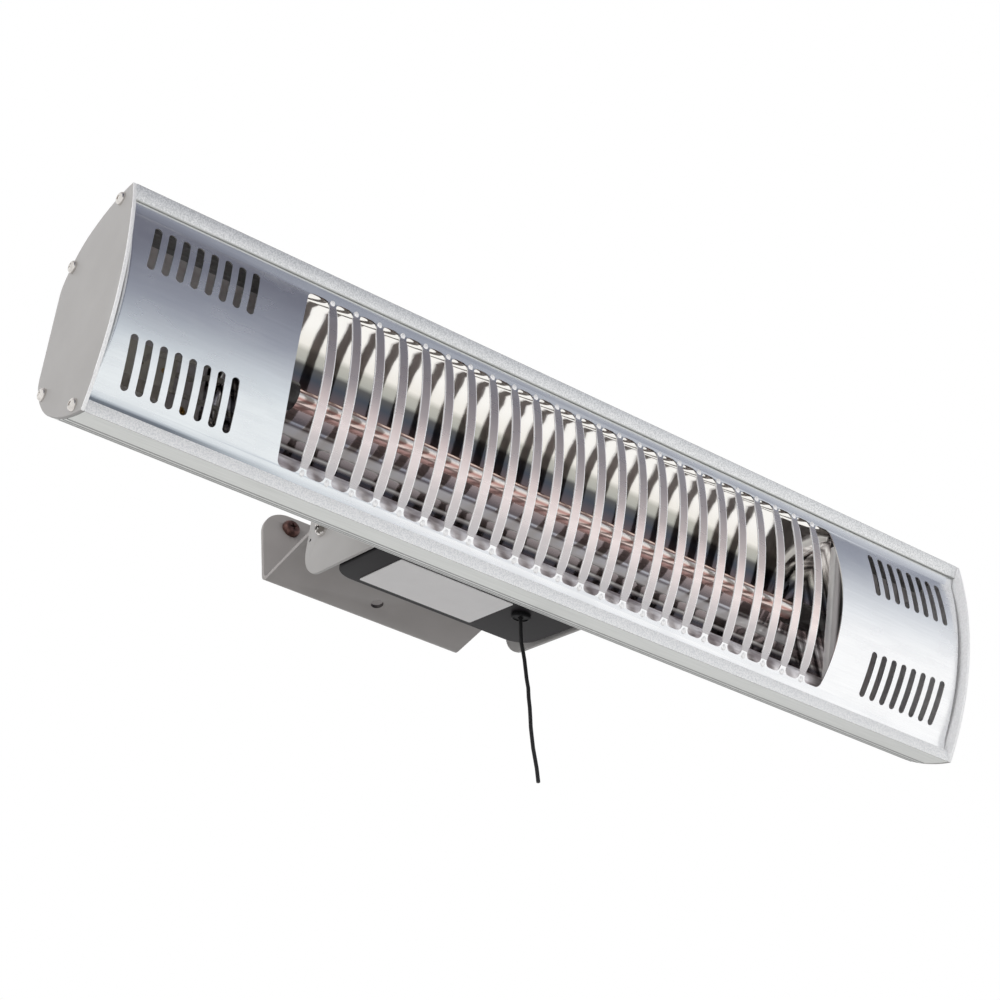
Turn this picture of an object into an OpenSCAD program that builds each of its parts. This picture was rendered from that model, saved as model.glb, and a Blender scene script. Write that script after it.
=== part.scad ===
// Wall-hung infrared bar heater with a pull cord.
// Row frame: X along the heater, +Y back into the wall, +Z up. The origin lies on the
// wall face, midway between the two wall screws. The heater head is drawn in its own
// frame (Y back from the rim, Z up from mid height) and in_head() hangs it on its pivot.

/* [Housing] */
// Length over the end caps
body_l = 592; // [560:1:620]
// Height of the housing
body_h = 130; // [128:1:134]
// Radius of the long curve behind the rim
top_r = 110; // [106:1:114]
// Radius of the shoulder
shoulder_r = 52; // [50:1:56]
// Radius of the turn into the flat back
back_r = 16; // [12:1:18]
// Wall of the extrusion
shell_t = 1.8; // [1.6:0.1:2.2]
// Height of the rim lip above the front panel
lip_h = 8; // [7.5:0.5:8.5]
// Depth of the lip's flange along the panel edge
lip_d = 6; // [5:0.5:7]
// Plate of an end cap
cap_t = 2.2; // [1.8:0.1:2.6]
// How far the end cap bows out past the rim
cap_bow = 12.3; // [11:0.1:14]
// Wall round each screw channel
channel_t = 1.6; // [1.2:0.1:2]

/* [Front panel] */
// Sheet of the front panel
panel_t = 0.8; // [0.6:0.1:1]
// How far the panel's edges lie behind the rim
panel_set = 3; // [2.6:0.1:3.4]
// Bow of the panel from its edges to its middle
panel_bow = 10.4; // [9.6:0.1:11]
// Gap between the panel and the lips
panel_gap = 0.4; // [0.3:0.1:0.5]
// Slots in each group
slot_n = 8; // [6:1:9]
// Pitch of the slots
slot_pitch = 8.2; // [8:0.1:8.5]
// Width of a slot
slot_w = 4.4; // [4:0.1:4.8]
// Height of a slot
slot_h = 28; // [26:1:30]
// First slot from the end of the heater
slot_in = 17.8; // [16:0.1:20]
// Slot group's middle from the top or bottom of the heater
slot_down = 32.6; // [31:0.1:33]
// Lean of a slot
slot_lean = 6.4; // [5:0.1:8]
// Grille window from the end of the heater
window_in = 103.3; // [101:0.1:107]
// Grille window from the top and bottom of the heater
window_down = 14; // [13.5:0.5:15]
// Radius of the window's bowed ends
window_r = 235; // [220:5:260]
// Pitch of the slats
slat_pitch = 15; // [14.5:0.1:15.2]
// Width of a slat
slat_w = 5.5; // [5:0.1:6]

/* [Reflector and tube] */
// Depth of the tube's centre behind the rim
tube_back = 22; // [20:0.5:23]
// Focal length of the reflector trough
focal = 20; // [19:0.5:21]
// Edge of the trough from the top and bottom of the heater
trough_down = 18; // [17.5:0.5:19]
// Reflector sheet
reflector_t = 0.6; // [0.5:0.1:0.8]
// Reflector from the end of the heater
reflector_in = 100; // [97:0.5:101]
// Diameter of the heating tube
tube_d = 11; // [10:0.5:12]
// Wall of the tube
tube_t = 1.2; // [1:0.1:1.5]
// Tube's end from the end of the reflector
tube_in = 12; // [10:0.5:14]
// Diameter of a ceramic tube end
ceramic_d = 16; // [15:0.5:17]
// Length of a ceramic tube end
ceramic_l = 26; // [24:1:28]
// Diameter of the filament bundle
filament_d = 3; // [2:0.5:4]
// Diameter of an insulated lead
lead_d = 3; // [2.6:0.1:3.4]

/* [Yoke and switch box] */
// Gap between the two ears
ear_gap = 146.6; // [146:0.1:148]
// Sheet of the yoke
yoke_t = 2; // [1.8:0.1:2.4]
// Reach of the ears behind the housing
ear_reach = 104.5; // [102:0.5:106]
// Height of an ear
ear_h = 61; // [60:0.5:62]
// Radius of the ear's back corners
ear_r = 20; // [18:0.5:22]
// Gap between an ear and the switch box
box_gap = 2.3; // [1.8:0.1:3]
// Reach of the switch box behind the yoke's base
box_reach = 75.5; // [74:0.5:76]
// Reach of the switch box above and below the housing's flat back
box_over = 4.8; // [4:0.1:5.2]
// Radius of the box's back corners
box_r = 15; // [14.5:0.5:16]
// Wall of the box
box_t = 2; // [1.8:0.1:2.4]
// Length of the blank label
label_l = 80; // [70:1:82]
// Width of the blank label
label_w = 45; // [40:1:46]
// Thickness of the blank label
label_t = 0.4; // [0.3:0.1:0.6]

/* [Pull cord] */
// Place of the cord along the heater
cord_x = 39; // [37:1:41]
// Depth of the cord behind the rim
cord_back = 103; // [101:1:105]
// Diameter of the cord
cord_d = 2.3; // [2:0.1:2.4]
// Bore of the grommet
grommet_bore = 3.4; // [3.2:0.1:3.8]
// Flange of the grommet
grommet_d = 14; // [13:0.5:15]
// Travel of the pull switch
pull_travel = 6; // [5:0.5:6.5]

/* [Wall bracket] */
// Sheet of the bracket
bracket_t = 2.5; // [2.2:0.1:2.8]
// Width of the bracket
bracket_w = 144.6; // [144:0.1:145.4]
// Height of the wall plate above the screw line
web_up = 10.5; // [10:0.5:12]
// Drop of the shelf's underside below the screw line
shelf_drop = 50.5; // [49:0.5:51]
// Radius of the wall plate's top corners
web_r = 20; // [16:0.5:22]
// Reach of the shelf from the wall
shelf_reach = 70; // [66:0.5:71]
// Radius of a lug round the pivot
lug_r = 10; // [9:0.5:10]
// Distance of the pivot from the wall
pivot_out = 73; // [72:0.5:75]
// Drop of the pivot below the screw line
pivot_drop = 61; // [60:0.5:62]
// Distance of the pivot behind the housing
pivot_reach = 85.5; // [84.5:0.5:86]
// Tilt of the head as it hangs
tilt = 20; // [15:1:25]
// Spacing of the two wall screws
screw_pitch = 104; // [96:1:108]
// Hole in the shelf
drain_d = 8; // [6:0.5:9]
// Distance of the shelf's hole from the wall
drain_out = 19; // [16:0.5:22]

/* [Fasteners] */
// Diameter of the pivot bolts
pivot_d = 6; // [5:0.5:6]
// Diameter of a wall screw's shank
wall_shank_d = 5; // [4.5:0.1:5]
// Length of a wall screw behind the wall face
wall_shank_l = 27.5; // [25:0.5:45]
// Diameter of a wall screw's head
wall_head_d = 12; // [11:0.5:13]
// Diameter of the small case screws
case_d = 3.5; // [3:0.1:3.6]
// Head diameter of the small case screws
case_head_d = 7; // [6.5:0.1:7.5]

/* [Hidden] */

// Fits
running_gap = 0.05;
face_gap = 0.1;
hole_gap = 0.2;
eps = 0.01;

// Outline of the housing: three arcs, each turning on from the last
turn_0 = 3.5;
turn_1 = 26;
turn_2 = 62;
half_h = body_h / 2;
arc_1_y = top_r * (sin(turn_1) - sin(turn_0));
arc_1_z = half_h - top_r * (cos(turn_0) - cos(turn_1));
arc_2_y = arc_1_y + shoulder_r * (sin(turn_2) - sin(turn_1));
arc_2_z = arc_1_z - shoulder_r * (cos(turn_1) - cos(turn_2));
body_d = arc_2_y + back_r * (1 - sin(turn_2));
back_half = arc_2_z - back_r * cos(turn_2);
pivot_back = body_d + pivot_reach;
shell_l = body_l - 2 * cap_t;
window_half = body_l / 2 - window_in;
window_up = half_h - window_down;
slot_up = half_h - slot_down;
trough_up = half_h - trough_down;
slat_n = floor(2 * window_half / slat_pitch) - 1;
reflector_l = body_l - 2 * reflector_in;
tube_l = reflector_l - 2 * tube_in;

// Front panel
panel_half = half_h - lip_h;
panel_l = shell_l - 2 * panel_gap;

// Screw channels for the end caps, under the long curve and under the shoulder
channel_in = 4.85;
turn_front = 9.1;
turn_rear = 50.3;
function under(y, z, r, a, turn) = [y + (r - channel_in) * sin(turn) - r * sin(a),
    z + (r - channel_in) * cos(turn) - r * cos(a)];
channels = [for (c = [under(0, half_h, top_r, turn_0, turn_front),
    under(arc_1_y, arc_1_z, shoulder_r, turn_1, turn_rear)], s = [-1, 1]) [c[0], s * c[1]]];
channel_r = case_d / 2 + channel_t;
case_bore = case_d - 2 * hole_gap;
cap_screw_l = 12;

// Trough and tube
trough_back = tube_back + focal;
trough_n = 16;
ledge_d = 7;
ledge_up = 3;
flange_up = 3;
end_t = 1;
foot_l = 10;
foot_x = reflector_l / 2 + end_t + foot_l / 2;
clip_w = 18;
clip_t = 1;
clip_h = 30;
clip_over = 5;
ceramic_in = 8;

// Yoke, switch box and what they hold
box_w = ear_gap - 2 * box_gap;
box_half = back_half + box_over;
box_h = 2 * box_half;
yoke_y = body_d;
box_y = body_d + yoke_t;
box_back = box_y + box_reach;
yoke_base_h = 2 * back_half - yoke_t;
lid_t = 2;
switch_w = 30;
switch_d = 24;
switch_h = 26;
switch_neck_d = 10;
switch_neck_l = pull_travel;
switch_nut_d = 16;
switch_nut_t = 3;
plunger_d = 5;
plunger_l = 16;
grommet_neck_d = 9;
grommet_flange_t = 2.6;
bush_d = 14;
bush_flange_d = 18;
bush_t = 2;
wire_hole_x = -20;

// Gland of the mains lead, on the lid of the box
gland_x = -36;
gland_from = 39.5;
gland_back = box_y + gland_from;
gland_d = 14;
gland_hex_d = 18;
gland_bore = 7;
gland_out = 12;
gland_in = 8;

// Terminal block in the left compartment
room_in = reflector_l / 2 + end_t + foot_l;
room_l = shell_l / 2 - room_in;
block_l = room_l * 0.46;
block_w = 20;
block_h = 14;
block_x = -room_in - room_l / 2;
block_end = block_x + block_l / 2;
block_ways = 3;
earth_x = (block_end - room_in) / 2;

// Small screws
case_head_h = 2.6;
recess_w = 1;
recess_l = 4;
recess_h = 1.2;
bolt_head_d = 11;
bolt_head_h = 4;
nut_d = 11;
nut_t = 5;
mark_d = 2.5;
mark_back = 14;
mark_down = 4;
lid_screw_in = 9;
yoke_screw_x = 55;
yoke_screw_in = 10.2;
yoke_screw_z = back_half - yoke_screw_in;

// Route of the cord: first in the head's frame, then hanging in the row frame
plunger_low = -13;
cord_inside = [[0, 0, plunger_low], [0, 0, -20], [0, 0, -26], [0, 0, -32], [0, -0.5, -34]];
cord_hang = [[39, -107.5, -114], [39, -107, -118], [39, -106.5, -124], [39.5, -106.5, -130],
    [39.5, -107, -137], [39.5, -107, -144], [39.5, -107, -151], [39.5, -107.5, -158],
    [39, -107.5, -165], [39, -107.5, -172], [39, -107, -179], [38.5, -107, -186],
    [38.5, -107, -193], [38.5, -107, -200], [39, -107, -207], [39.5, -107, -214],
    [39.5, -107, -219], [39.5, -107, -223]];
cord_sides = 8;
across = [1, 2, 3];

module in_head() {
    translate([0, -pivot_out, -pivot_drop]) rotate([tilt, 0, 0])
        translate([0, -pivot_back, 0]) children();
}

// A point of the head's frame, given in the row frame
function head_point(p) = [p[0],
    -pivot_out + (p[1] - pivot_back) * cos(tilt) - p[2] * sin(tilt),
    -pivot_drop + (p[1] - pivot_back) * sin(tilt) + p[2] * cos(tilt)];

// Half outline of the housing from the rim to the back, inset by t
function arc_points(y, z, r, a, b, t, first, n) = [for (i = [first : n]) let (u = a + (b - a) * i / n)
    [y - r * sin(a) + (r - t) * sin(u), z - r * cos(a) + (r - t) * cos(u)]];
function upper(t, n = 8) = concat(arc_points(0, half_h, top_r, turn_0, turn_1, t, 0, n),
    arc_points(arc_1_y, arc_1_z, shoulder_r, turn_1, turn_2, t, 1, n),
    arc_points(arc_2_y, arc_2_z, back_r, turn_2, 90, t, 1, n));
function backward(points) = [for (i = [len(points) - 1 : -1 : 0]) points[i]];
function flip(points) = backward([for (p = points) [p[0], -p[1]]]);
function around(t) = concat(upper(t), flip(upper(t)));

// A bow from the bottom to the top of a height, without its two ends
function bow(half, depth, n = 24) = let (r = (half * half + depth * depth) / (2 * depth))
    [for (i = [1 : n - 1]) let (z = -half + 2 * half * i / n) [r - depth - sqrt(r * r - z * z), z]];

// A section drawn as [back, up] and run along X
module along_x(length) {
    rotate([90, 0, 90]) translate([0, 0, -length / 2]) linear_extrude(length) children();
}

// A round bar or bore along X, Y or Z
module bar_x(d, length) {
    rotate([0, 90, 0]) cylinder(d = d, h = length, center = true, $fn = 48);
}
module bar_y(d, length) {
    rotate([-90, 0, 0]) cylinder(d = d, h = length, $fn = 48);
}

// A pan-headed screw along +Z with its head's underside at the origin and its tip below
module pan_screw(head_d, head_h, d, length) {
    difference() {
        union() {
            cylinder(d = head_d, h = head_h / 2, $fn = 48);
            translate([0, 0, head_h / 2])
                cylinder(d1 = head_d, d2 = head_d * 2 / 3, h = head_h / 2, $fn = 48);
            translate([0, 0, -length]) cylinder(d = d, h = length + eps, $fn = 48);
        }
        for (a = [0, 90]) rotate([0, 0, a])
            translate([-recess_l / 2, -recess_w / 2, head_h - recess_h])
                cube([recess_l, recess_w, recess_h + eps]);
    }
}

module case_screw(length) {
    pan_screw(case_head_d, case_head_h, case_d, length);
}

// Fixed to the wall

// Wall plate, shelf and two lugs, bent from one sheet
module wall_bracket() {
    half_w = bracket_w / 2;
    color("gainsboro") difference() {
        union() {
            translate([-half_w, -bracket_t, -shelf_drop])
                cube([bracket_w, bracket_t, shelf_drop + web_up - web_r]);
            translate([-half_w + web_r, -bracket_t, -shelf_drop])
                cube([bracket_w - 2 * web_r, bracket_t, shelf_drop + web_up]);
            for (s = [-1, 1]) translate([s * (half_w - web_r), 0, web_up - web_r])
                rotate([90, 0, 0]) cylinder(r = web_r, h = bracket_t, $fn = 64);
            translate([-half_w, -shelf_reach, -shelf_drop])
                cube([bracket_w, shelf_reach, bracket_t]);
            for (s = [-1, 1]) {
                translate([s * (half_w - bracket_t / 2) - bracket_t / 2,
                    -pivot_out - lug_r, -pivot_drop])
                    cube([bracket_t, 2 * lug_r, pivot_drop - shelf_drop + bracket_t]);
                translate([s * (half_w - bracket_t / 2), -pivot_out, -pivot_drop])
                    bar_x(2 * lug_r, bracket_t);
            }
        }
        for (s = [-1, 1]) {
            translate([s * screw_pitch / 2, -bracket_t - eps, 0])
                bar_y(wall_shank_d + 2 * running_gap, bracket_t + 2 * eps);
            translate([s * (half_w - bracket_t / 2), -pivot_out, -pivot_drop])
                bar_x(pivot_d + 2 * hole_gap, bracket_t + 2 * eps);
        }
        translate([0, -drain_out, -shelf_drop - eps])
            cylinder(d = drain_d, h = bracket_t + 2 * eps, $fn = 48);
    }
}

// Each screw has a thinner neck inside the plate and a pointed end in the wall
module wall_screws() {
    neck_d = wall_shank_d * 0.9;
    point_l = wall_shank_d;
    color("saddlebrown") for (s = [-1, 1]) translate([s * screw_pitch / 2, 0, 0])
        rotate([90, 0, 0]) {
            translate([0, 0, bracket_t])
                pan_screw(wall_head_d, wall_head_d / 3, neck_d, bracket_t);
            translate([0, 0, point_l - wall_shank_l])
                cylinder(d = wall_shank_d, h = wall_shank_l - point_l, $fn = 48);
            translate([0, 0, -wall_shank_l])
                cylinder(d1 = wall_shank_d / 5, d2 = wall_shank_d, h = point_l + eps, $fn = 48);
        }
}

// Each bolt passes the ear, a washer and the lug, and its nut lies against the lug
module pivot_bolts() {
    head_x = ear_gap / 2 + yoke_t + face_gap;
    inner_x = bracket_w / 2 - bracket_t - nut_t;
    color("silver") for (s = [-1, 1]) translate([s * head_x, -pivot_out, -pivot_drop])
        rotate([0, s * 90, 0]) pan_screw(bolt_head_d, bolt_head_h, pivot_d, head_x - inner_x);
}

module pivot_nuts() {
    color("silver") for (s = [-1, 1])
        translate([s * (bracket_w / 2 - bracket_t - nut_t / 2), -pivot_out, -pivot_drop])
            rotate([0, 90, 0]) difference() {
                cylinder(d = nut_d, h = nut_t, center = true, $fn = 6);
                cylinder(d = pivot_d, h = nut_t + 2 * eps, center = true, $fn = 48);
            }
}

module lug_washers() {
    gap = (ear_gap - bracket_w) / 2 - face_gap;
    color("dimgray") for (s = [-1, 1])
        translate([s * (bracket_w + gap) / 2, -pivot_out, -pivot_drop]) difference() {
            bar_x(2 * lug_r - 4 * hole_gap, gap);
            bar_x(pivot_d + 2 * hole_gap, gap + 2 * eps);
        }
}

// Housing

// From the rim's corner: the lip, its flange, the ledge behind the panel's edge, and back
edge = panel_half + panel_gap;
ledge_y = panel_set + panel_t;
lip_line = [[panel_set - panel_gap, edge], [ledge_y, edge], [ledge_y, edge - shell_t],
    [lip_d, edge - shell_t], [lip_d, edge + shell_t], [panel_set, edge + shell_t],
    [shell_t, half_h - shell_t]];

module housing_shell() {
    wall = around(shell_t);
    inside = [for (i = [len(wall) - 2 : -1 : 1]) wall[i]];
    color("silver") in_head() difference() {
        union() {
            along_x(shell_l) polygon(concat(around(0), [for (p = lip_line) [p[0], -p[1]]], inside,
                backward(lip_line)));
            for (c = channels) translate([0, c[0], c[1]]) bar_x(2 * channel_r, shell_l);
        }
        for (c = channels) translate([0, c[0], c[1]]) bar_x(case_bore, shell_l + 2 * eps);
        // wires pass through the back into the switch box
        translate([wire_hole_x, body_d - 2 * shell_t, 0])
            bar_y(bush_d + 2 * hole_gap, 4 * shell_t);
        for (sx = [-1, 1], sz = [-1, 1])
            translate([sx * yoke_screw_x, body_d - 2 * shell_t, sz * yoke_screw_z])
                bar_y(case_d + 2 * hole_gap, 4 * shell_t);
        for (sx = [-1, 1], sz = [-1, 1])
            translate([sx * foot_x, body_d - 2 * shell_t, sz * back_half / 2])
                bar_y(case_d, 4 * shell_t);
        translate([earth_x, body_d - 2 * shell_t, -back_half / 2]) bar_y(case_d, 4 * shell_t);
    }
}

module end_cap(side) {
    color("lightgray") in_head() translate([side * (body_l - cap_t) / 2, 0, 0]) difference() {
        along_x(cap_t) polygon(concat(around(0), bow(half_h, cap_bow)));
        for (c = channels) translate([0, c[0], c[1]]) bar_x(case_d + 2 * hole_gap, cap_t + 2 * eps);
    }
}
module left_end_cap() {
    end_cap(-1);
}
module right_end_cap() {
    end_cap(1);
}

module end_cap_screws() {
    color("silver") in_head() for (s = [-1, 1], c = channels)
        translate([s * body_l / 2, c[0], c[1]]) rotate([0, s * 90, 0])
            pan_screw(case_head_d, case_head_h, case_bore, cap_screw_l);
}

// Front panel: a bowed sheet with four groups of slots and a window crossed by slats

module slot(length, width) {
    translate([-width / 2, -length / 2 + width / 2]) square([width, length - width]);
    for (s = [-1, 1]) translate([0, s * (length - width) / 2]) circle(d = width, $fn = 32);
}

module panel_holes() {
    for (sx = [-1, 1], sz = [-1, 1], i = [0 : slot_n - 1])
        translate([sx * (body_l / 2 - slot_in - i * slot_pitch), sz * slot_up])
            rotate(sx * sz * slot_lean) slot(slot_h, slot_w);
    bow_x = window_r - window_half;
    intersection() {
        difference() {
            square([2 * window_half, 2 * window_up], center = true);
            for (i = [0 : slat_n - 1])
                translate([(i - (slat_n - 1) / 2) * slat_pitch - slat_w / 2, -window_up])
                    square([slat_w, 2 * window_up]);
        }
        translate([bow_x, 0]) circle(r = window_r, $fn = 128);
        translate([-bow_x, 0]) circle(r = window_r, $fn = 128);
    }
}

module front_panel() {
    outer = concat([[0, -panel_half]], bow(panel_half, panel_bow), [[0, panel_half]]);
    color("lightsteelblue") in_head() difference() {
        translate([0, panel_set, 0]) along_x(panel_l)
            polygon(concat(outer, backward([for (p = outer) [p[0] + panel_t, p[1]]])));
        translate([0, 2 * panel_bow, 0]) rotate([90, 0, 0])
            linear_extrude(4 * panel_bow) panel_holes();
    }
}

// Reflector and heating tube

// Section of the trough from its bottom flange to its top one, set back and out by t
mouth_y = trough_back - trough_up * trough_up / (4 * focal);
function rim_line(t) = [[mouth_y - ledge_d + t, trough_up + ledge_up + flange_up],
    [mouth_y - ledge_d + t, trough_up + ledge_up + t], [mouth_y + t, trough_up + t]];
function trough(t) = [for (i = [1 - trough_n : trough_n - 1])
    let (z = trough_up * i / trough_n) [trough_back + t - z * z / (4 * focal), z]];
function trough_line(t) = concat([for (p = rim_line(t)) [p[0], -p[1]]], trough(t),
    [for (i = [2 : -1 : 0]) rim_line(t)[i]]);

module trough_section() {
    polygon(concat(trough_line(0), backward(trough_line(reflector_t))));
}

module reflector() {
    color("whitesmoke") in_head() along_x(reflector_l) trough_section();
}

// Cheek that closes the trough, with a foot on the back of the housing
module reflector_end(side) {
    half = [for (p = upper(shell_t + hole_gap)) if (p[0] > lip_d + shell_t) p];
    foot_y = body_d - shell_t - end_t;
    color("whitesmoke") in_head() translate([side * (reflector_l + end_t) / 2, 0, 0]) difference() {
        union() {
            along_x(end_t) polygon(concat(half, flip(half)));
            translate([side * foot_l / 2, foot_y + end_t / 2, 0])
                cube([foot_l + end_t, end_t, 2 * (back_half - end_t)], center = true);
        }
        for (c = channels) translate([0, c[0], c[1]])
            bar_x(2 * (channel_r + hole_gap), 3 * end_t);
        translate([0, tube_back, 0]) bar_x(ceramic_d + 2 * hole_gap, 3 * end_t);
        translate([0, tube_back, clip_h / 2]) bar_x(case_d, 3 * end_t);
        for (z = [back_half / 2, -block_w / 4]) translate([0, run_y, z])
            bar_x(2 * lead_d, 3 * end_t);
        for (z = [-1, 1]) translate([side * (foot_l + end_t) / 2, foot_y - eps, z * back_half / 2])
            bar_y(case_d, end_t + 2 * eps);
    }
}
module left_reflector_end() {
    reflector_end(-1);
}
module right_reflector_end() {
    reflector_end(1);
}

module reflector_screws() {
    color("silver") in_head() for (sx = [-1, 1], sz = [-1, 1])
        translate([sx * foot_x, body_d - shell_t - end_t, sz * back_half / 2])
            rotate([90, 0, 0]) pan_screw(case_head_d, case_head_h, case_d, end_t + shell_t);
}

module heating_tube() {
    color([0.85, 0.55, 0.42]) in_head() translate([0, tube_back, 0]) difference() {
        bar_x(tube_d, tube_l);
        bar_x(tube_d - 2 * tube_t, tube_l + 2 * eps);
    }
}

module tube_filament() {
    color("dimgray") in_head() translate([0, tube_back, 0]) bar_x(filament_d, tube_l);
}

// Ceramic end: a collar round the tube's end and a solid plug behind it
module tube_ceramic(side) {
    color("ivory") in_head() translate([side * (tube_l / 2 - ceramic_in + ceramic_l / 2), tube_back, 0])
        difference() {
            bar_x(ceramic_d, ceramic_l);
            translate([-side * (ceramic_l - ceramic_in) / 2, 0, 0]) bar_x(tube_d, ceramic_in + eps);
        }
}
module left_tube_ceramic() {
    tube_ceramic(-1);
}
module right_tube_ceramic() {
    tube_ceramic(1);
}

// Spring clip: a bored plate round the ceramic, hung from the reflector's cheek
module tube_clip(side) {
    plate_x = reflector_l / 2 + end_t;
    color("dimgray") in_head() translate([side * (plate_x + clip_t / 2), tube_back, 0]) difference() {
        union() {
            bar_x(ceramic_d + 2 * clip_over, clip_t);
            translate([-clip_t / 2, -clip_w / 2, 0]) cube([clip_t, clip_w, clip_h / 2 + clip_over]);
        }
        bar_x(ceramic_d, 3 * clip_t);
        translate([0, 0, clip_h / 2]) bar_x(case_d + 2 * hole_gap, 3 * clip_t);
    }
}
module left_tube_clip() {
    tube_clip(-1);
}
module right_tube_clip() {
    tube_clip(1);
}

module clip_screws() {
    color("silver") in_head() for (s = [-1, 1])
        translate([s * (reflector_l / 2 + end_t + clip_t), tube_back, clip_h / 2])
            rotate([0, s * 90, 0]) pan_screw(case_head_d, case_head_h, case_bore, 3 * end_t);
}

// Leads inside the head
ceramic_end = tube_l / 2 - ceramic_in + ceramic_l;
block_y = body_d - shell_t - block_h;
run_y = body_d - shell_t - 2 * lead_d;
bend = 6;

// A route with each bend cut by a short run
function eased(r, e) = concat([r[0]], [for (i = [1 : len(r) - 2], k = [-2 : 2])
    let (a = unit(r[i - 1] - r[i]), b = unit(r[i + 1] - r[i]))
    r[i] + e * (a * pow(max(0, (2 - k) / 4), 2) + b * pow(max(0, (2 + k) / 4), 2))], [r[len(r) - 1]]);

module lead(route) {
    color("white") in_head() swept(eased(route, bend), lead_d, cord_sides);
}

module left_lead() {
    lead([[-ceramic_end, tube_back, 0], [-ceramic_end - 2 * bend, tube_back, 0],
        [block_x, block_y - 2 * bend, 0], [block_x, block_y, 0]]);
}

module right_lead() {
    lead([[ceramic_end, tube_back, 0], [ceramic_end + 2 * bend, tube_back, 0],
        [ceramic_end + 2 * bend, run_y, back_half / 2],
        [block_end + 4 * bend, run_y, back_half / 2], [block_end + 2 * bend, run_y, block_w / 4],
        [block_end, run_y, block_w / 4]]);
}

module switch_leads() {
    switch_x = cord_x - switch_w / 2;
    lead([[block_end, run_y, -block_w / 4], [block_end + 2 * bend, run_y, -block_w / 4],
        [wire_hole_x, run_y, 0], [wire_hole_x, body_d + 4 * bend, 0],
        [switch_x - 2 * bend, cord_back, 0], [switch_x, cord_back, 0]]);
}

module terminal_block() {
    color("ivory") in_head() translate([block_x, block_y + block_h / 2, 0]) difference() {
        cube([block_l, block_h, block_w], center = true);
        for (i = [0 : block_ways - 1])
            translate([(i - 1) * block_l / block_ways, -block_h / 2 - eps, 0])
                bar_y(case_d, block_h / 2);
    }
}

module terminal_screws() {
    color("goldenrod") in_head() for (i = [0 : block_ways - 1])
        translate([block_x + (i - 1) * block_l / block_ways, block_y, 0])
            bar_y(case_bore, block_h / 2 - eps);
}

module earth_screw() {
    color("gold") in_head() translate([earth_x, body_d - shell_t, -back_half / 2])
        rotate([90, 0, 0]) pan_screw(case_head_d, case_head_h, case_d, shell_t);
}

// Yoke and switch box

module housing_bush() {
    color("black") in_head() translate([wire_hole_x, body_d, 0]) difference() {
        union() {
            translate([0, -shell_t, 0]) bar_y(bush_d, shell_t + yoke_t + bush_t);
            translate([0, -shell_t - bush_t, 0]) bar_y(bush_flange_d, bush_t);
        }
        translate([0, -shell_t - bush_t - eps, 0]) bar_y(bush_d - bush_t, shell_t + yoke_t + 3 * bush_t);
    }
}

module mounting_yoke() {
    outer = ear_gap + 2 * yoke_t;
    color("gainsboro") in_head() difference() {
        union() {
            translate([-outer / 2, yoke_y, -yoke_base_h / 2]) cube([outer, yoke_t, yoke_base_h]);
            for (s = [-1, 1]) translate([s * (ear_gap + yoke_t) / 2, 0, 0]) {
                translate([-yoke_t / 2, yoke_y, -yoke_base_h / 2])
                    cube([yoke_t, ear_reach - ear_r, yoke_base_h]);
                translate([-yoke_t / 2, yoke_y + yoke_t, -ear_h / 2])
                    cube([yoke_t, ear_reach - ear_r - yoke_t, ear_h]);
                translate([-yoke_t / 2, yoke_y, -ear_h / 2 + ear_r])
                    cube([yoke_t, ear_reach, ear_h - 2 * ear_r]);
                for (z = [-1, 1]) translate([0, yoke_y + ear_reach - ear_r, z * (ear_h / 2 - ear_r)])
                    bar_x(2 * ear_r, yoke_t);
            }
        }
        translate([0, pivot_back, 0]) bar_x(pivot_d + 2 * running_gap, 2 * outer);
        translate([0, pivot_back + mark_back, -mark_down]) bar_x(mark_d, 2 * outer);
        translate([wire_hole_x, yoke_y - eps, 0]) bar_y(bush_d + 2 * hole_gap, 2 * yoke_t);
        for (sx = [-1, 1], sz = [-1, 1])
            translate([sx * yoke_screw_x, yoke_y - eps, sz * yoke_screw_z])
                bar_y(case_d + 2 * hole_gap, 2 * yoke_t);
    }
}

module yoke_screws() {
    color("silver") in_head() for (sx = [-1, 1], sz = [-1, 1])
        translate([sx * yoke_screw_x, body_d + yoke_t, sz * yoke_screw_z])
            rotate([-90, 0, 0]) pan_screw(case_head_d, case_head_h, case_d, 3 * shell_t);
}

// Plan of the box: square at the yoke, round at its back corners, inset by t
module box_plan(t) {
    translate([-box_w / 2 + t, box_y + t]) square([box_w - 2 * t, box_reach - box_r - t]);
    translate([-box_w / 2 + box_r, box_y + t]) square([box_w - 2 * box_r, box_reach - 2 * t]);
    for (s = [-1, 1]) translate([s * (box_w / 2 - box_r), box_back - box_r])
        circle(r = box_r - t, $fn = 64);
}

lid_in = lid_screw_in + box_t;
lid_posts = [for (sx = [-1, 1], y = [box_y + lid_screw_in, box_back - lid_in])
    [sx * (box_w / 2 - lid_in), y]];

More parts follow.
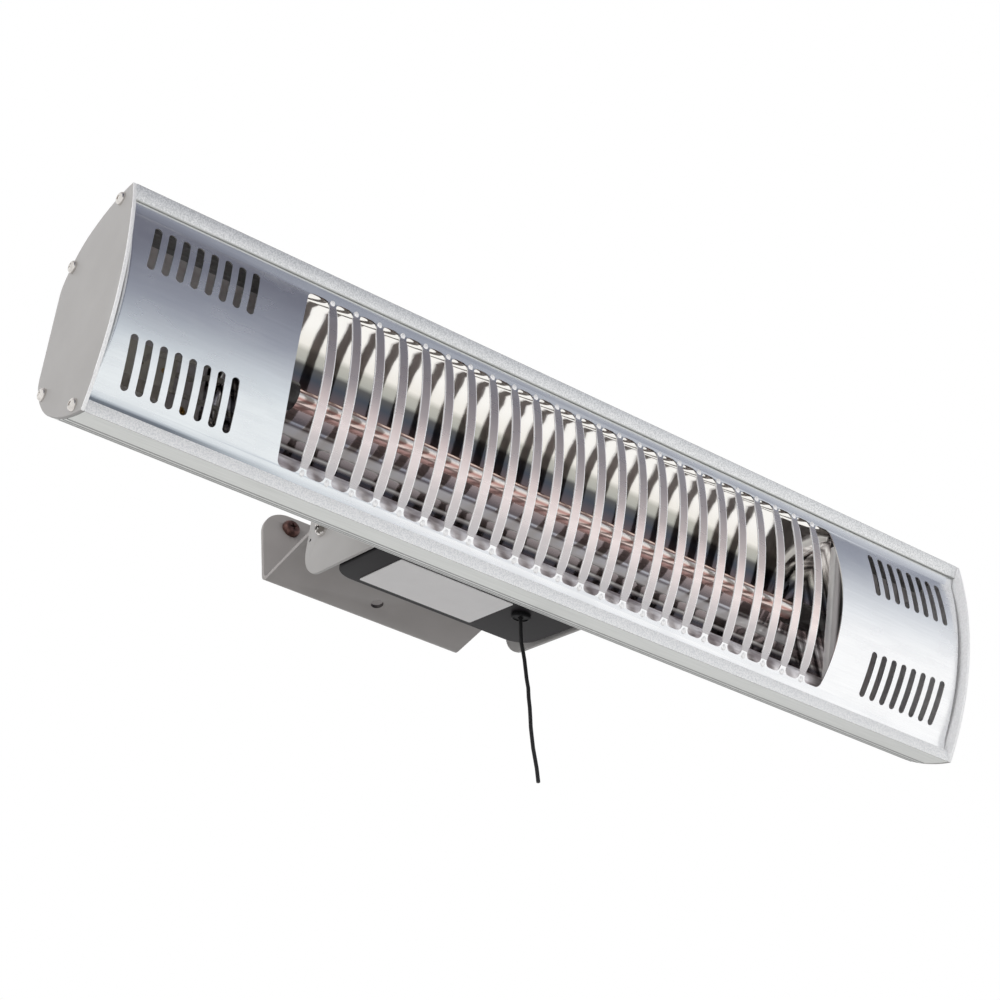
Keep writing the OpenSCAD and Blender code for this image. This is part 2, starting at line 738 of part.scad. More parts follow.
module switch_box() {
    color([0.2, 0.2, 0.21]) in_head() difference() {
        union() {
            difference() {
                translate([0, 0, -box_half]) linear_extrude(box_h - lid_t) box_plan(0);
                translate([0, 0, -box_half + box_t]) linear_extrude(box_h) box_plan(box_t);
            }
            for (p = lid_posts) translate([p[0], p[1], -box_half + box_t / 2])
                cylinder(d = case_head_d + box_t, h = box_h - lid_t - box_t / 2, $fn = 32);
        }
        for (p = lid_posts) translate([p[0], p[1], box_half - lid_t - cap_screw_l])
            cylinder(d = case_bore, h = cap_screw_l + eps, $fn = 32);
        // way in for the wires from the housing
        translate([wire_hole_x, box_y - eps, 0]) bar_y(bush_d + 2 * hole_gap, 2 * box_t);
        // grommet
        translate([cord_x, cord_back, -box_half - eps])
            cylinder(d = grommet_neck_d + 2 * running_gap, h = 2 * box_t, $fn = 48);
        for (sx = [-1, 1], sz = [-1, 1])
            translate([sx * yoke_screw_x, box_y - eps, sz * yoke_screw_z])
                bar_y(case_head_d + 2 * hole_gap, 2 * box_t);
    }
}

module switch_box_lid() {
    color([0.2, 0.2, 0.21]) in_head() difference() {
        translate([0, 0, box_half - lid_t]) linear_extrude(lid_t) box_plan(0);
        for (p = lid_posts) translate([p[0], p[1], box_half - 2 * lid_t])
            cylinder(d = case_d + 2 * hole_gap, h = 3 * lid_t, $fn = 32);
        translate([gland_x, gland_back, box_half - 2 * lid_t])
            cylinder(d = gland_d + 2 * running_gap, h = 3 * lid_t, $fn = 48);
    }
}

module lid_screws() {
    color("silver") in_head() for (p = lid_posts) translate([p[0], p[1], box_half])
        pan_screw(case_head_d, case_head_h, case_bore, cap_screw_l);
}

label_x = -13.5;
label_in = 47.5;
label_back = box_y + label_in;

module label_plate() {
    color("lightgray") in_head() translate([label_x, label_back, -box_half - label_t / 2])
        cube([label_l, label_w, label_t], center = true);
}

module cable_gland() {
    color([0.15, 0.15, 0.16]) in_head() translate([gland_x, gland_back, box_half]) difference() {
        union() {
            translate([0, 0, -gland_in]) cylinder(d = gland_d, h = gland_in + gland_out, $fn = 48);
            cylinder(d = gland_hex_d, h = gland_out / 2, $fn = 48);
        }
        translate([0, 0, -gland_in - eps])
            cylinder(d = gland_bore, h = gland_in + gland_out + 2 * eps, $fn = 48);
    }
}

module gland_nut() {
    color([0.15, 0.15, 0.16]) in_head()
        translate([gland_x, gland_back, box_half - lid_t - gland_in / 2]) difference() {
            cylinder(d = gland_hex_d, h = gland_in / 2, $fn = 6);
            translate([0, 0, -eps]) cylinder(d = gland_d, h = gland_in, $fn = 48);
        }
}

// Pull switch with its plunger and cord

switch_low = -box_half + box_t + switch_neck_l;
module pull_switch() {
    color("dimgray") in_head() difference() {
        union() {
            translate([cord_x - switch_w / 2, cord_back - switch_d / 2, switch_low])
                cube([switch_w, switch_d, switch_h]);
            translate([cord_x, cord_back, -box_half + box_t]) cylinder(d = switch_neck_d,
                h = switch_neck_l + eps, $fn = 48);
        }
        translate([cord_x, cord_back, -box_half]) cylinder(d = plunger_d + 2 * running_gap,
            h = box_half + plunger_low + plunger_l + face_gap, $fn = 48);
    }
}

module switch_nut() {
    color("silver") in_head() translate([cord_x, cord_back, -box_half + box_t]) difference() {
        cylinder(d = switch_nut_d, h = switch_nut_t, $fn = 6);
        translate([0, 0, -eps]) cylinder(d = switch_neck_d, h = 2 * switch_nut_t, $fn = 48);
    }
}

module cord_grommet() {
    color("black") in_head() translate([cord_x, cord_back, 0]) difference() {
        union() {
            translate([0, 0, -box_half]) cylinder(d = grommet_neck_d, h = box_t, $fn = 48);
            translate([0, 0, -box_half - grommet_flange_t])
                cylinder(d = grommet_d, h = grommet_flange_t, $fn = 64);
        }
        translate([0, 0, -box_half - grommet_flange_t - eps])
            cylinder(d = grommet_bore, h = box_t + grommet_flange_t + 2 * eps, $fn = 48);
    }
}

module switch_plunger() {
    color("white") in_head() translate([cord_x, cord_back, plunger_low])
        cylinder(d = plunger_d, h = plunger_l, $fn = 48);
}

cord_route = concat([for (p = cord_inside) head_point([cord_x + p[0], cord_back + p[1], p[2]])], cord_hang);

// Tube swept along a route of points; each ring lies square to the run through it
function unit(v) = v / norm(v);
function run_at(r, i) = unit(r[min(i + 1, len(r) - 1)] - r[max(i - 1, 0)]);
function ring(r, i, d, n) = let (t = run_at(r, i), a = unit(cross(across, t)), b = cross(t, a))
    [for (k = [0 : n - 1]) r[i] + d / 2 * (cos(360 * k / n) * a + sin(360 * k / n) * b)];
module swept(route, d, n) {
    m = len(route);
    points = [for (i = [0 : m - 1]) each ring(route, i, d, n)];
    sides = [for (i = [0 : m - 2], k = [0 : n - 1])
        [i * n + k, (i + 1) * n + k, (i + 1) * n + (k + 1) % n, i * n + (k + 1) % n]];
    polyhedron(points, concat([[for (k = [0 : n - 1]) k]], sides,
        [[for (k = [n - 1 : -1 : 0]) (m - 1) * n + k]]), convexity = 8);
}

module pull_cord() {
    color("black") swept(cord_route, cord_d, cord_sides);
}

wall_bracket();
wall_screws();
pivot_bolts();
pivot_nuts();
lug_washers();
housing_shell();
left_end_cap();
right_end_cap();
end_cap_screws();
front_panel();
reflector();
left_reflector_end();
right_reflector_end();
reflector_screws();
heating_tube();
tube_filament();
left_tube_ceramic();
right_tube_ceramic();
left_tube_clip();
right_tube_clip();
clip_screws();
left_lead();
right_lead();
switch_leads();
terminal_block();
terminal_screws();
earth_screw();
housing_bush();
mounting_yoke();
yoke_screws();
switch_box();
switch_box_lid();
lid_screws();
label_plate();
cable_gland();
gland_nut();
pull_switch();
switch_nut();
cord_grommet();
switch_plunger();
pull_cord();
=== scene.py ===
import math

import bmesh
import bpy
from mathutils import Matrix, Vector


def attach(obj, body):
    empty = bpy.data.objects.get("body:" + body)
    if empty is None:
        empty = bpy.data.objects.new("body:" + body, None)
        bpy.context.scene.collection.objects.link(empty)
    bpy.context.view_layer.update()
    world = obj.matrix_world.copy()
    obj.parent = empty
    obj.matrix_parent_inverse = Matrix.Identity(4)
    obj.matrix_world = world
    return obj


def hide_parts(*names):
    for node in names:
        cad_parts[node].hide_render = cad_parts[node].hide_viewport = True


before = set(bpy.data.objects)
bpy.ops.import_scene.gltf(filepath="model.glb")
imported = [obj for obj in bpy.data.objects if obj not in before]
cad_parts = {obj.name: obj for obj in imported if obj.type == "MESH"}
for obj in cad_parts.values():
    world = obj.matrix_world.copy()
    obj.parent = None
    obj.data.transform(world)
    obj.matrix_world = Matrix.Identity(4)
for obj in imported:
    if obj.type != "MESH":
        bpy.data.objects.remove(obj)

bpy.ops.object.select_all(action="DESELECT")
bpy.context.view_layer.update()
scene = bpy.context.scene
scene.view_settings.view_transform = "Standard"

# where the tilted head sits: it is modelled level, rim at y = 0, and hung on its pivot at the end
head = {"tilt": 20.0, "pivot": (0, -0.073, -0.061), "pivotBack": 0.151996}
headPlace = (
    Matrix.Translation(head["pivot"])
    @ Matrix.Rotation(math.radians(head["tilt"]), 4, "X")
    @ Matrix.Translation((0, -head["pivotBack"], 0))
)
wallPlace = Matrix.Identity(4)

# the outside of the housing, shared by several pieces; an arc is its radius, start, end and steps
shape = {
    "length": 0.592, "halfHeight": 0.065, "capThick": 0.0022, "capBow": 0.0123, "wall": 0.0018,
    "arcs": [
        (0.110, 3.5, 13.0, 6), (0.110, 13.0, 22.0, 18), (0.110, 22.0, 26.0, 2),
        (0.052, 26.0, 62.0, 20), (0.016, 62.0, 90.0, 10),
    ],
}

print("camera and cord")
camera = {"place": (-0.64148, -0.89392, -0.92073), "turn": (131.307, 4.7489, -36.494), "lens": 80.063}
camData = bpy.data.cameras.new("viewCamera")
camData.lens = camera["lens"]
camData.sensor_width = 36
camData.clip_start = 0.05
camData.clip_end = 60
camObject = bpy.data.objects.new("viewCamera", camData)
scene.collection.objects.link(camObject)
camObject.location = camera["place"]
camObject.rotation_euler = [math.radians(a) for a in camera["turn"]]
scene.camera = camObject


# small helpers for objects


def leaveEdit():
    if bpy.context.object and bpy.context.object.mode != "OBJECT":
        bpy.ops.object.mode_set(mode="OBJECT")
    bpy.ops.object.select_all(action="DESELECT")


def activate(obj):
    leaveEdit()
    obj.select_set(True)
    bpy.context.view_layer.objects.active = obj


def primitive(kind, **values):
    leaveEdit()
    getattr(bpy.ops.mesh, "primitive_" + kind + "_add")(**values)
    return bpy.context.object


def applyPlace(obj):
    activate(obj)
    bpy.ops.object.transform_apply(location=True, rotation=True, scale=True)
    return obj


def block(size, at=(0, 0, 0)):
    cube = primitive("cube", size=1, location=at)
    cube.scale = size
    return applyPlace(cube)


def sheet(wide, tall, at=(0, 0, 0), turn=(0, 0, 0)):
    plane = primitive("plane", size=1, location=at, rotation=turn)
    plane.scale = (wide, tall, 1)
    return applyPlace(plane)


def rod(radius, depth, sides, at=(0, 0, 0), turn=(0, 0, 0)):
    stick = primitive("cylinder", vertices=sides, radius=radius, depth=depth, location=at, rotation=turn)
    return applyPlace(stick)


def drop(obj):
    bpy.data.objects.remove(obj, do_unlink=True)


def copyOf(obj, move=(0, 0, 0), turn=Matrix()):
    twin = obj.copy()
    twin.data = obj.data.copy()
    scene.collection.objects.link(twin)
    twin.matrix_world = Matrix.Translation(move) @ turn @ obj.matrix_world
    return twin


def joined(objs):
    activate(objs[0])
    for obj in objs[1:]:
        obj.select_set(True)
    bpy.ops.object.join()
    return applyPlace(bpy.context.object)


def modify(obj, kind, **values):
    activate(obj)
    mod = obj.modifiers.new(kind.title(), kind)
    for key, value in values.items():
        setattr(mod, key, value)
    bpy.ops.object.modifier_apply(modifier=mod.name)


def thicken(obj, thick):
    modify(obj, "SOLIDIFY", thickness=thick, offset=-1, use_even_offset=True)


def easeEdges(obj, width, segments=2, angle=50):
    limit = math.radians(angle)
    modify(obj, "BEVEL", width=width, segments=segments, limit_method="ANGLE", angle_limit=limit)


def mirrorDown(obj):
    modify(obj, "MIRROR", use_axis=(False, False, True), use_mirror_merge=True, merge_threshold=1e-5)


def cutWith(obj, cutter, operation="DIFFERENCE"):
    modify(obj, "BOOLEAN", object=cutter, operation=operation, solver="EXACT")
    drop(cutter)


def roundHole(obj, point, radius, axis, deep=0.01):
    turn = {"X": (0, math.pi / 2, 0), "Y": (math.pi / 2, 0, 0), "Z": (0, 0, 0)}[axis]
    cutWith(obj, rod(radius, deep, 40, point, turn))


def faceOutward(obj, way):
    # turns a sheet over if its face that lies farthest that way looks back
    way = Vector(way)
    last = max(obj.data.polygons, key=lambda face: face.center.dot(way))
    if last.normal.dot(way) < 0:
        obj.data.flip_normals()


# small helpers for edit mode


def editMode(on=True):
    bpy.ops.object.mode_set(mode="EDIT" if on else "OBJECT")


def pick(kind, test):
    # selects by place what passes the test, which gets the middle and the item
    data = bmesh.from_edit_mesh(bpy.context.object.data)
    bpy.context.tool_settings.mesh_select_mode = (kind == "verts", kind == "edges", kind == "faces")
    data.select_mode = {kind[:-1].upper()}
    for group in (data.verts, data.edges, data.faces):
        for item in group:
            item.select = False
    for item in getattr(data, kind):
        if kind == "verts":
            at = item.co
        elif kind == "edges":
            at = (item.verts[0].co + item.verts[1].co) / 2
        else:
            at = item.calc_center_median()
        if test(at, item):
            item.select_set(True)
    data.select_flush_mode()
    bmesh.update_edit_mesh(bpy.context.object.data)


def pickAll():
    bpy.ops.mesh.select_all(action="SELECT")


def near(a, b, slack=2e-5):
    return abs(a - b) < slack


def along(edge, axis):
    run = edge.verts[1].co - edge.verts[0].co
    return abs(run[axis]) > 0.999 * run.length


def shift(*move):
    bpy.ops.transform.translate(value=move)


def drawOut(*move):
    bpy.ops.mesh.extrude_region_move(TRANSFORM_OT_translate={"value": move})


def soften(width, segments, affect="EDGES"):
    bpy.ops.mesh.bevel(offset=width, segments=segments, affect=affect)


def sliceAt(point, normal):
    pickAll()
    bpy.ops.mesh.bisect(plane_co=point, plane_no=normal)


def weld(gap=1e-6):
    pickAll()
    bpy.ops.mesh.remove_doubles(threshold=gap)


def cleanNormals(obj):
    activate(obj)
    editMode()
    weld()
    bpy.ops.mesh.normals_make_consistent(inside=False)
    editMode(False)
    return obj


# small helpers for materials


def giveSlots(obj, count):
    while len(obj.data.materials) < count:
        obj.data.materials.append(None)


def paint(obj, materials):
    giveSlots(obj, len(materials))
    for i, material in enumerate(materials):
        obj.data.materials[i] = material


def markFaces(obj, index, test):
    # gives the faces that pass the test a material number
    giveSlots(obj, index + 1)
    for face in obj.data.polygons:
        if test(face.center, face.normal):
            face.material_index = index


def settle(obj, name, body, materials, nodes, place=headPlace, smooth=30):
    # hangs a finished piece in its place, names it, and hides the solids it stands for
    obj.matrix_world = place @ obj.matrix_world
    applyPlace(obj)
    obj.name = name
    obj.data.name = name
    bpy.ops.object.shade_smooth_by_angle(angle=math.radians(smooth))
    paint(obj, materials)
    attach(obj, body)
    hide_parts(*nodes)


def addNode(owner, kind, inputs={}, **fields):
    # a shader node whose inputs are given as values or as other nodes' outputs
    node = owner.node_tree.nodes.new("ShaderNode" + kind)
    for key, value in fields.items():
        setattr(node, key, value)
    for key, value in inputs.items():
        if isinstance(value, bpy.types.NodeSocket):
            owner.node_tree.links.new(value, node.inputs[key])
        else:
            node.inputs[key].default_value = value
    return node


def shaderOf(mat):
    return mat.node_tree.nodes["Principled BSDF"]


def feed(mat, target, source):
    mat.node_tree.links.new(source, shaderOf(mat).inputs[target])


def showAs(mat, source):
    mat.node_tree.links.new(source, mat.node_tree.nodes["Material Output"].inputs["Surface"])


def surface(name, color, metallic, roughness, specular=0.5):
    mat = bpy.data.materials.new(name)
    mat.use_nodes = True
    inputs = shaderOf(mat).inputs
    inputs["Base Color"].default_value = (*color, 1)
    inputs["Metallic"].default_value = metallic
    inputs["Roughness"].default_value = roughness
    inputs["Specular IOR Level"].default_value = specular
    return mat


def noiseFrom(mat, scale, stretch=(1, 1, 1), detail=3):
    place = addNode(mat, "TexCoord").outputs["Object"]
    mapped = addNode(mat, "Mapping", {"Vector": place, "Scale": stretch}).outputs["Vector"]
    return addNode(mat, "TexNoise", {"Vector": mapped, "Scale": scale, "Detail": detail}).outputs["Fac"]


def rangeOf(owner, value, start, end, low=0, high=1):
    inputs = {"Value": value, "From Min": start, "From Max": end, "To Min": low, "To Max": high}
    return addNode(owner, "MapRange", inputs).outputs["Result"]


def colorRamp(mat, factor, stops, target="Base Color"):
    ramp = addNode(mat, "ValToRGB", {"Fac": factor})
    while len(ramp.color_ramp.elements) < len(stops):
        ramp.color_ramp.elements.new(0.5)
    for element, (place, color) in zip(ramp.color_ramp.elements, stops):
        element.position = place
        element.color = (*color, 1)
    if target:
        feed(mat, target, ramp.outputs["Color"])
    return ramp.outputs["Color"]


def greys(*stops):
    return [(place, (tone, tone, tone)) for place, tone in stops]


def roughFrom(mat, factor, low, high, start=0.3, end=0.7):
    feed(mat, "Roughness", rangeOf(mat, factor, start, end, low, high))


def bumpFrom(mat, height, strength, distance):
    inputs = {"Height": height, "Strength": strength, "Distance": distance}
    normal = shaderOf(mat).inputs["Normal"]
    if normal.is_linked:
        inputs["Normal"] = normal.links[0].from_socket
    feed(mat, "Normal", addNode(mat, "Bump", inputs).outputs["Normal"])


def mixInto(mat, factor, color, blend="MIX"):
    # blends a colour, or a node's output, into what the base colour has so far
    base = shaderOf(mat).inputs["Base Color"].links[0].from_socket
    mix = addNode(mat, "Mix", {"Factor": factor, 6: base, 7: color}, data_type="RGBA", blend_type=blend)
    feed(mat, "Base Color", mix.outputs[2])


def alongHead(mat, axis, low, high):
    # 0 to 1 along one of the head's own axes, which tilt with it
    place = addNode(mat, "TexCoord").outputs["Object"]
    way = headPlace.to_3x3() @ Vector(axis)
    start = way.dot(headPlace.to_translation())
    dot = addNode(mat, "VectorMath", {0: place, 1: way}, operation="DOT_PRODUCT")
    return rangeOf(mat, dot.outputs["Value"], start + low, start + high)


def headHeight(mat):
    return alongHead(mat, (0, 0, 1), -0.05, 0.05)


def grained(name, color, metallic, roughness, grain, low, high, span=(0.3, 0.7), bump=None, specular=0.5):
    # a surface that wanders between two tones; grain is a noise, and bump a noise, strength and depth
    mat = surface(name, color, metallic, roughness, specular)
    colorRamp(mat, noiseFrom(mat, *grain), [(span[0], low), (span[1], high)])
    if bump:
        bumpFrom(mat, noiseFrom(mat, *bump[0]), *bump[1:])
    return mat


print("materials")
white = (1, 1, 1)
even = (1, 1, 1)
sandSpan = (0.38, 0.62)
paintSpan = (0.35, 0.65)

blasted = grained("blastedSilver", (0.9, 0.9, 0.9), 0.8, 0.52, (1300,),
                  (0.74, 0.75, 0.75), white, sandSpan, ((1300,), 0.45, 0.0002))
# painted light: a paler, less metallic copy of the blasted silver, so the lower lip reads lit though both
# lips are the same metal
litBlastedLow = grained("litBlastedLowerLip", (0.92, 0.92, 0.92), 0.35, 0.6, (1300,),
                     (0.82, 0.83, 0.84), white, (0.40, 0.58), ((1300,), 0.5, 0.0002))
capEdge = grained("capEdgeSilver", (0.95, 0.95, 0.96), 0.25, 0.5, (1300,),
                  (0.90, 0.90, 0.91), white, sandSpan, ((1300,), 0.4, 0.0002))
capInner = grained("capInnerFace", (0.93, 0.93, 0.94), 0, 0.5, (900,),
                   (0.88, 0.88, 0.89), (0.97, 0.97, 0.98), sandSpan)
extruded = grained("extrudedSilver", (0.70, 0.71, 0.69), 0.8, 0.45, (900, (0.05, 1, 1)),
                   (0.66, 0.67, 0.65), (0.74, 0.75, 0.73), bump=((1600, (0.03, 1, 1)), 0.06, 0.0001))
rawInside = grained("rawInside", (0.90, 0.86, 0.85), 0.2, 0.5, (200, (0.1, 1, 1)),
                    (0.84, 0.79, 0.79), (0.95, 0.92, 0.92))
rimShade = grained("rimShade", (0.34, 0.34, 0.34), 0.6, 0.5, (800,), (0.29, 0.29, 0.29), (0.40, 0.40, 0.40))

brushed = grained("brushedSteel", (0.84, 0.86, 0.88), 1, 0.3, (900, (0.03, 1, 1), 4),
                  (0.955, 0.96, 0.97), (0.99, 0.995, 1), bump=((150, (0.3, 1, 1), 4), 0.04, 0.0005))
bumpFrom(brushed, noiseFrom(brushed, 1500, (0.02, 1, 1)), 0.02, 0.0001)
roughFrom(brushed, noiseFrom(brushed, 90, (0.35, 1, 1), 5), 0.17, 0.30, 0.35, 0.65)


def shadeLeft(mat, low, high, stops, fadeIn, fadeOut):
    # paints shade and reflection into the colour by head height, fading out from the left end towards the
    # middle
    shade = colorRamp(mat, alongHead(mat, (0, 0, 1), low, high), stops, None)
    mixInto(mat, alongHead(mat, (-1, 0, 0), fadeOut, fadeIn), shade, "MULTIPLY")


# painted reflection and shade: the panel's foot is darkened as if it mirrored the dark gap at the lip, and
# its lower left painted paler, as if it mirrored a pale grey wall
shadeLeft(brushed, -0.057, -0.052, [
    (0.0, (0.27, 0.285, 0.31)), (0.36, (0.30, 0.315, 0.34)), (0.50, (0.60, 0.62, 0.65)), (0.76, white),
], 0.25, 0.18)
paleWallReflection = (0.84, 0.875, 0.89)
shadeLeft(brushed, -0.055, 0.005, [(0.0, paleWallReflection), (0.6, paleWallReflection), (1.0, white)], 0.19, 0.10)

# the heat of the tube has tinted the slats mauve above it; the pale pink band along it is a painted highlight
slatSteel = surface("slatSteel", (0.60, 0.52, 0.51), 1, 0.28)
colorRamp(slatSteel, headHeight(slatSteel), [
    (0.05, (0.56, 0.54, 0.55)), (0.17, (0.66, 0.61, 0.61)), (0.30, (0.94, 0.83, 0.81)),
    (0.42, (0.94, 0.79, 0.75)), (0.54, (0.74, 0.64, 0.61)), (0.78, (0.80, 0.70, 0.65)),
    (0.95, (0.92, 0.86, 0.82)),
])
roughFrom(slatSteel, noiseFrom(slatSteel, 600, (0.1, 1, 0.3)), 0.24, 0.36)


def paintSideHighlights(mat, pitch, start, end):
    # painted highlight: the two long sides of every slat are painted near-white and less metal
    place = addNode(mat, "TexCoord").outputs["Object"]
    value = addNode(mat, "SeparateXYZ", {"Vector": place}).outputs["X"]
    for operation, amount in (("DIVIDE", pitch), ("FRACT", 0), ("SUBTRACT", 0.5), ("ABSOLUTE", 0)):
        value = addNode(mat, "Math", {0: value, 1: amount}, operation=operation).outputs["Value"]
    side = rangeOf(mat, value, start / pitch, end / pitch)
    mixInto(mat, side, (1, 0.99, 0.99, 1))
    colorRamp(mat, side, greys((0, 1), (1, 0.2)), "Metallic")


paintSideHighlights(slatSteel, 0.015, 0.0023, 0.0026)

slatBack = grained("slatBack", (0.60, 0.57, 0.55), 0.3, 0.4, (300,), (0.52, 0.49, 0.47), (0.68, 0.65, 0.63))
# painted highlight: near-white and half metal, for the glints on the beads and the slats' cut edges
beadHighlight = surface("beadHighlight", (1, 0.99, 0.99), 0.4, 0.5)
roughFrom(beadHighlight, noiseFrom(beadHighlight, 900), 0.4, 0.55)

# painted reflection: bands that run along the sheet are painted dark and bright by head height, with less
# metal in some, standing in for what its pressed shape would mirror
mirror = surface("mirrorSheet", (0.88, 0.85, 0.81), 1, 0.05)
colorRamp(mirror, headHeight(mirror), [
    (0.27, (0.50, 0.46, 0.47)), (0.285, white), (0.30, (0.16, 0.13, 0.14)), (0.36, (0.30, 0.26, 0.27)),
    (0.378, (1, 0.99, 1)), (0.43, (1, 0.99, 1)), (0.447, (0.22, 0.18, 0.19)), (0.464, (0.9, 0.88, 0.89)),
    (0.474, (0.22, 0.18, 0.18)), (0.54, (0.40, 0.32, 0.32)), (0.56, (0.92, 0.66, 0.60)),
    (0.60, (0.95, 0.74, 0.68)), (0.62, (0.16, 0.11, 0.11)), (0.72, (0.06, 0.07, 0.09)),
    (0.765, (0.10, 0.10, 0.10)), (0.785, (0.42, 0.42, 0.38)), (0.825, (0.50, 0.49, 0.44)),
    (0.85, (0.86, 0.83, 0.77)), (0.93, (0.95, 0.93, 0.89)),
])
colorRamp(mirror, headHeight(mirror), greys(
    (0.25, 1), (0.275, 0.3), (0.29, 0.3), (0.305, 1), (0.355, 0.8), (0.375, 0.2), (0.435, 0.2), (0.455, 0.8),
    (0.5, 0.75), (0.56, 0.6), (0.62, 0.9), (0.7, 1),
), "Metallic")
bumpFrom(mirror, noiseFrom(mirror, 45, (0.5, 1, 1), 2), 0.06, 0.001)

rolledLip = grained("rolledLip", (0.75, 0.70, 0.71), 0.6, 0.3, (220, (0.25, 1, 1)),
                    (0.40, 0.35, 0.36), (1, 0.96, 0.97), sandSpan)

# the polished edge of the cheek has painted reflections: upright stripes of black, white and grey
chromeStrip = surface("chromeStrip", (0.7, 0.7, 0.7), 0.25, 0.3)
colorRamp(chromeStrip, alongHead(chromeStrip, (0, 1, 0), 0.002, 0.0145), [
    (0.06, (0.05, 0.05, 0.05)), (0.12, (0.55, 0.52, 0.52)), (0.30, (0.62, 0.60, 0.60)), (0.36, white),
    (0.66, (1, 0.99, 0.99)), (0.72, (0.30, 0.28, 0.28)), (0.80, (0.50, 0.48, 0.48)),
    (0.86, (0.04, 0.04, 0.04)),
])

# painted reflection: streaks from near-black to white in the colour of the cheek's mirror sheet
cheekMirror = surface("cheekMirror", (0.6, 0.58, 0.57), 1, 0.12)
colorRamp(cheekMirror, noiseFrom(cheekMirror, 260, (1, 1, 0.06), 2), [
    (0.40, (0.06, 0.05, 0.05)), (0.50, (0.45, 0.42, 0.42)), (0.60, (0.97, 0.95, 0.95)),
])

# the glass tube is rose, with painted highlights and painted dark lines along it by head height
copper = surface("copperTube", (0.82, 0.46, 0.38), 0.6, 0.1)
colorRamp(copper, headHeight(copper), [
    (0.445, (0.80, 0.48, 0.43)), (0.462, (1, 0.84, 0.78)), (0.478, (0.55, 0.26, 0.22)),
    (0.490, (1, 0.92, 0.87)), (0.508, (1, 0.98, 0.95)), (0.516, (0.34, 0.12, 0.10)),
    (0.526, (1, 0.84, 0.76)), (0.540, (0.72, 0.38, 0.32)), (0.550, (0.16, 0.05, 0.04)),
])
bumpFrom(copper, noiseFrom(copper, 700, (0.02, 1, 1), 2), 0.1, 0.0003)

capPaint = grained("capPaint", (0.50, 0.485, 0.475), 0, 0.5, (25,),
                   (0.48, 0.465, 0.455), (0.52, 0.505, 0.495), paintSpan, ((2500, even, 2), 0.1, 0.00006))
# painted shade: a darker copy of the grey paint, for the bracket in the head's shadow, though bracket and
# yoke are painted alike
bracketShadedPaint = grained("bracketShadedPaint", (0.40, 0.375, 0.365), 0, 0.45, (30,),
                       (0.38, 0.355, 0.345), (0.42, 0.395, 0.385), paintSpan,
                       ((2400, even, 2), 0.12, 0.00006))
charcoal = grained("charcoalBox", (0.018, 0.016, 0.018), 0, 0.5, (40,), (0.012, 0.0105, 0.0125),
                   (0.016, 0.0135, 0.016), paintSpan, ((2200, even, 2), 0.15, 0.00008), 0.12)
blackPlastic = grained("blackPlastic", (0.008, 0.008, 0.009), 0, 0.5, (60,), (0.005, 0.005, 0.006),
                       (0.010, 0.010, 0.011), bump=((1800, even, 2), 0.1, 0.00005), specular=0.1)
nickel = grained("nickelPlate", (0.66, 0.63, 0.60), 1, 0.18, (300,), (0.60, 0.57, 0.54), (0.80, 0.77, 0.74))
roughFrom(nickel, noiseFrom(nickel, 500, detail=2), 0.12, 0.26)
darkChrome = grained("darkChrome", (0.45, 0.42, 0.40), 1, 0.12, (260,),
                     (0.12, 0.11, 0.10), (0.85, 0.82, 0.80), (0.42, 0.56))
# painted shade: near-black for the insides of recesses and holes
recessShade = grained("recessShade", (0.06, 0.05, 0.05), 0.6, 0.5, (700,), (0.04, 0.035, 0.035),
                     (0.09, 0.08, 0.08))
brownZinc = grained("brownZinc", (0.13, 0.07, 0.06), 0.7, 0.38, (350,), (0.07, 0.035, 0.03),
                    (0.19, 0.10, 0.085))
labelFilm = grained("labelFilm", (0.90, 0.87, 0.87), 0, 0.4, (80,), (0.96, 0.94, 0.94), (1, 0.98, 0.98))
ceramic = grained("ceramicEnd", (0.03, 0.027, 0.026), 0, 0.25, (200,), (0.022, 0.019, 0.018),
                  (0.045, 0.04, 0.038))
ivory = grained("ivoryBlock", (0.72, 0.69, 0.61), 0, 0.45, (150,), (0.68, 0.65, 0.57), (0.76, 0.73, 0.65))
darkSteel = grained("darkSteel", (0.05, 0.045, 0.045), 0.8, 0.25, (300,), (0.03, 0.027, 0.027),
                    (0.10, 0.09, 0.09))
braid = grained("glassBraid", (0.66, 0.63, 0.58), 0, 0.75, (1200,),
                (0.55, 0.52, 0.47), (0.74, 0.71, 0.66), bump=((1500,), 0.4, 0.0002))
cordFibre = grained("cordFibre", (0.010, 0.010, 0.011), 0, 0.7, (1500,), (0.006, 0.006, 0.007),
                    (0.020, 0.020, 0.022))
brass = surface("brassScrew", (0.72, 0.52, 0.22), 1, 0.3)
roughFrom(brass, noiseFrom(brass, 400), 0.22, 0.4)
coilWire = surface("coilWire", (0.10, 0.05, 0.04), 0.9, 0.35)
roughFrom(coilWire, noiseFrom(coilWire, 600), 0.28, 0.45)


def cordPoints():
    # the same route as the solid cord: from the plunger through the grommet, then hanging
    inside = [(0, 0, -13), (0, 0, -20), (0, 0, -26), (0, 0, -32), (0, -0.5, -34)]
    hanging = [
        (39, -107.5, -114), (39, -107, -118), (39, -106.5, -124), (39.5, -106.5, -130),
        (39.5, -107, -137), (39.5, -107, -144), (39.5, -107, -151), (39.5, -107.5, -158),
        (39, -107.5, -165), (39, -107.5, -172), (39, -107, -179), (38.5, -107, -186),
        (38.5, -107, -193), (38.5, -107, -200), (39, -107, -207), (39.5, -107, -214),
        (39.5, -107, -219), (39.5, -107, -223),
    ]
    top = [headPlace @ (Vector((39 + x, 103 + y, z)) / 1000) for x, y, z in inside]
    return top + [Vector(p) / 1000 for p in hanging]


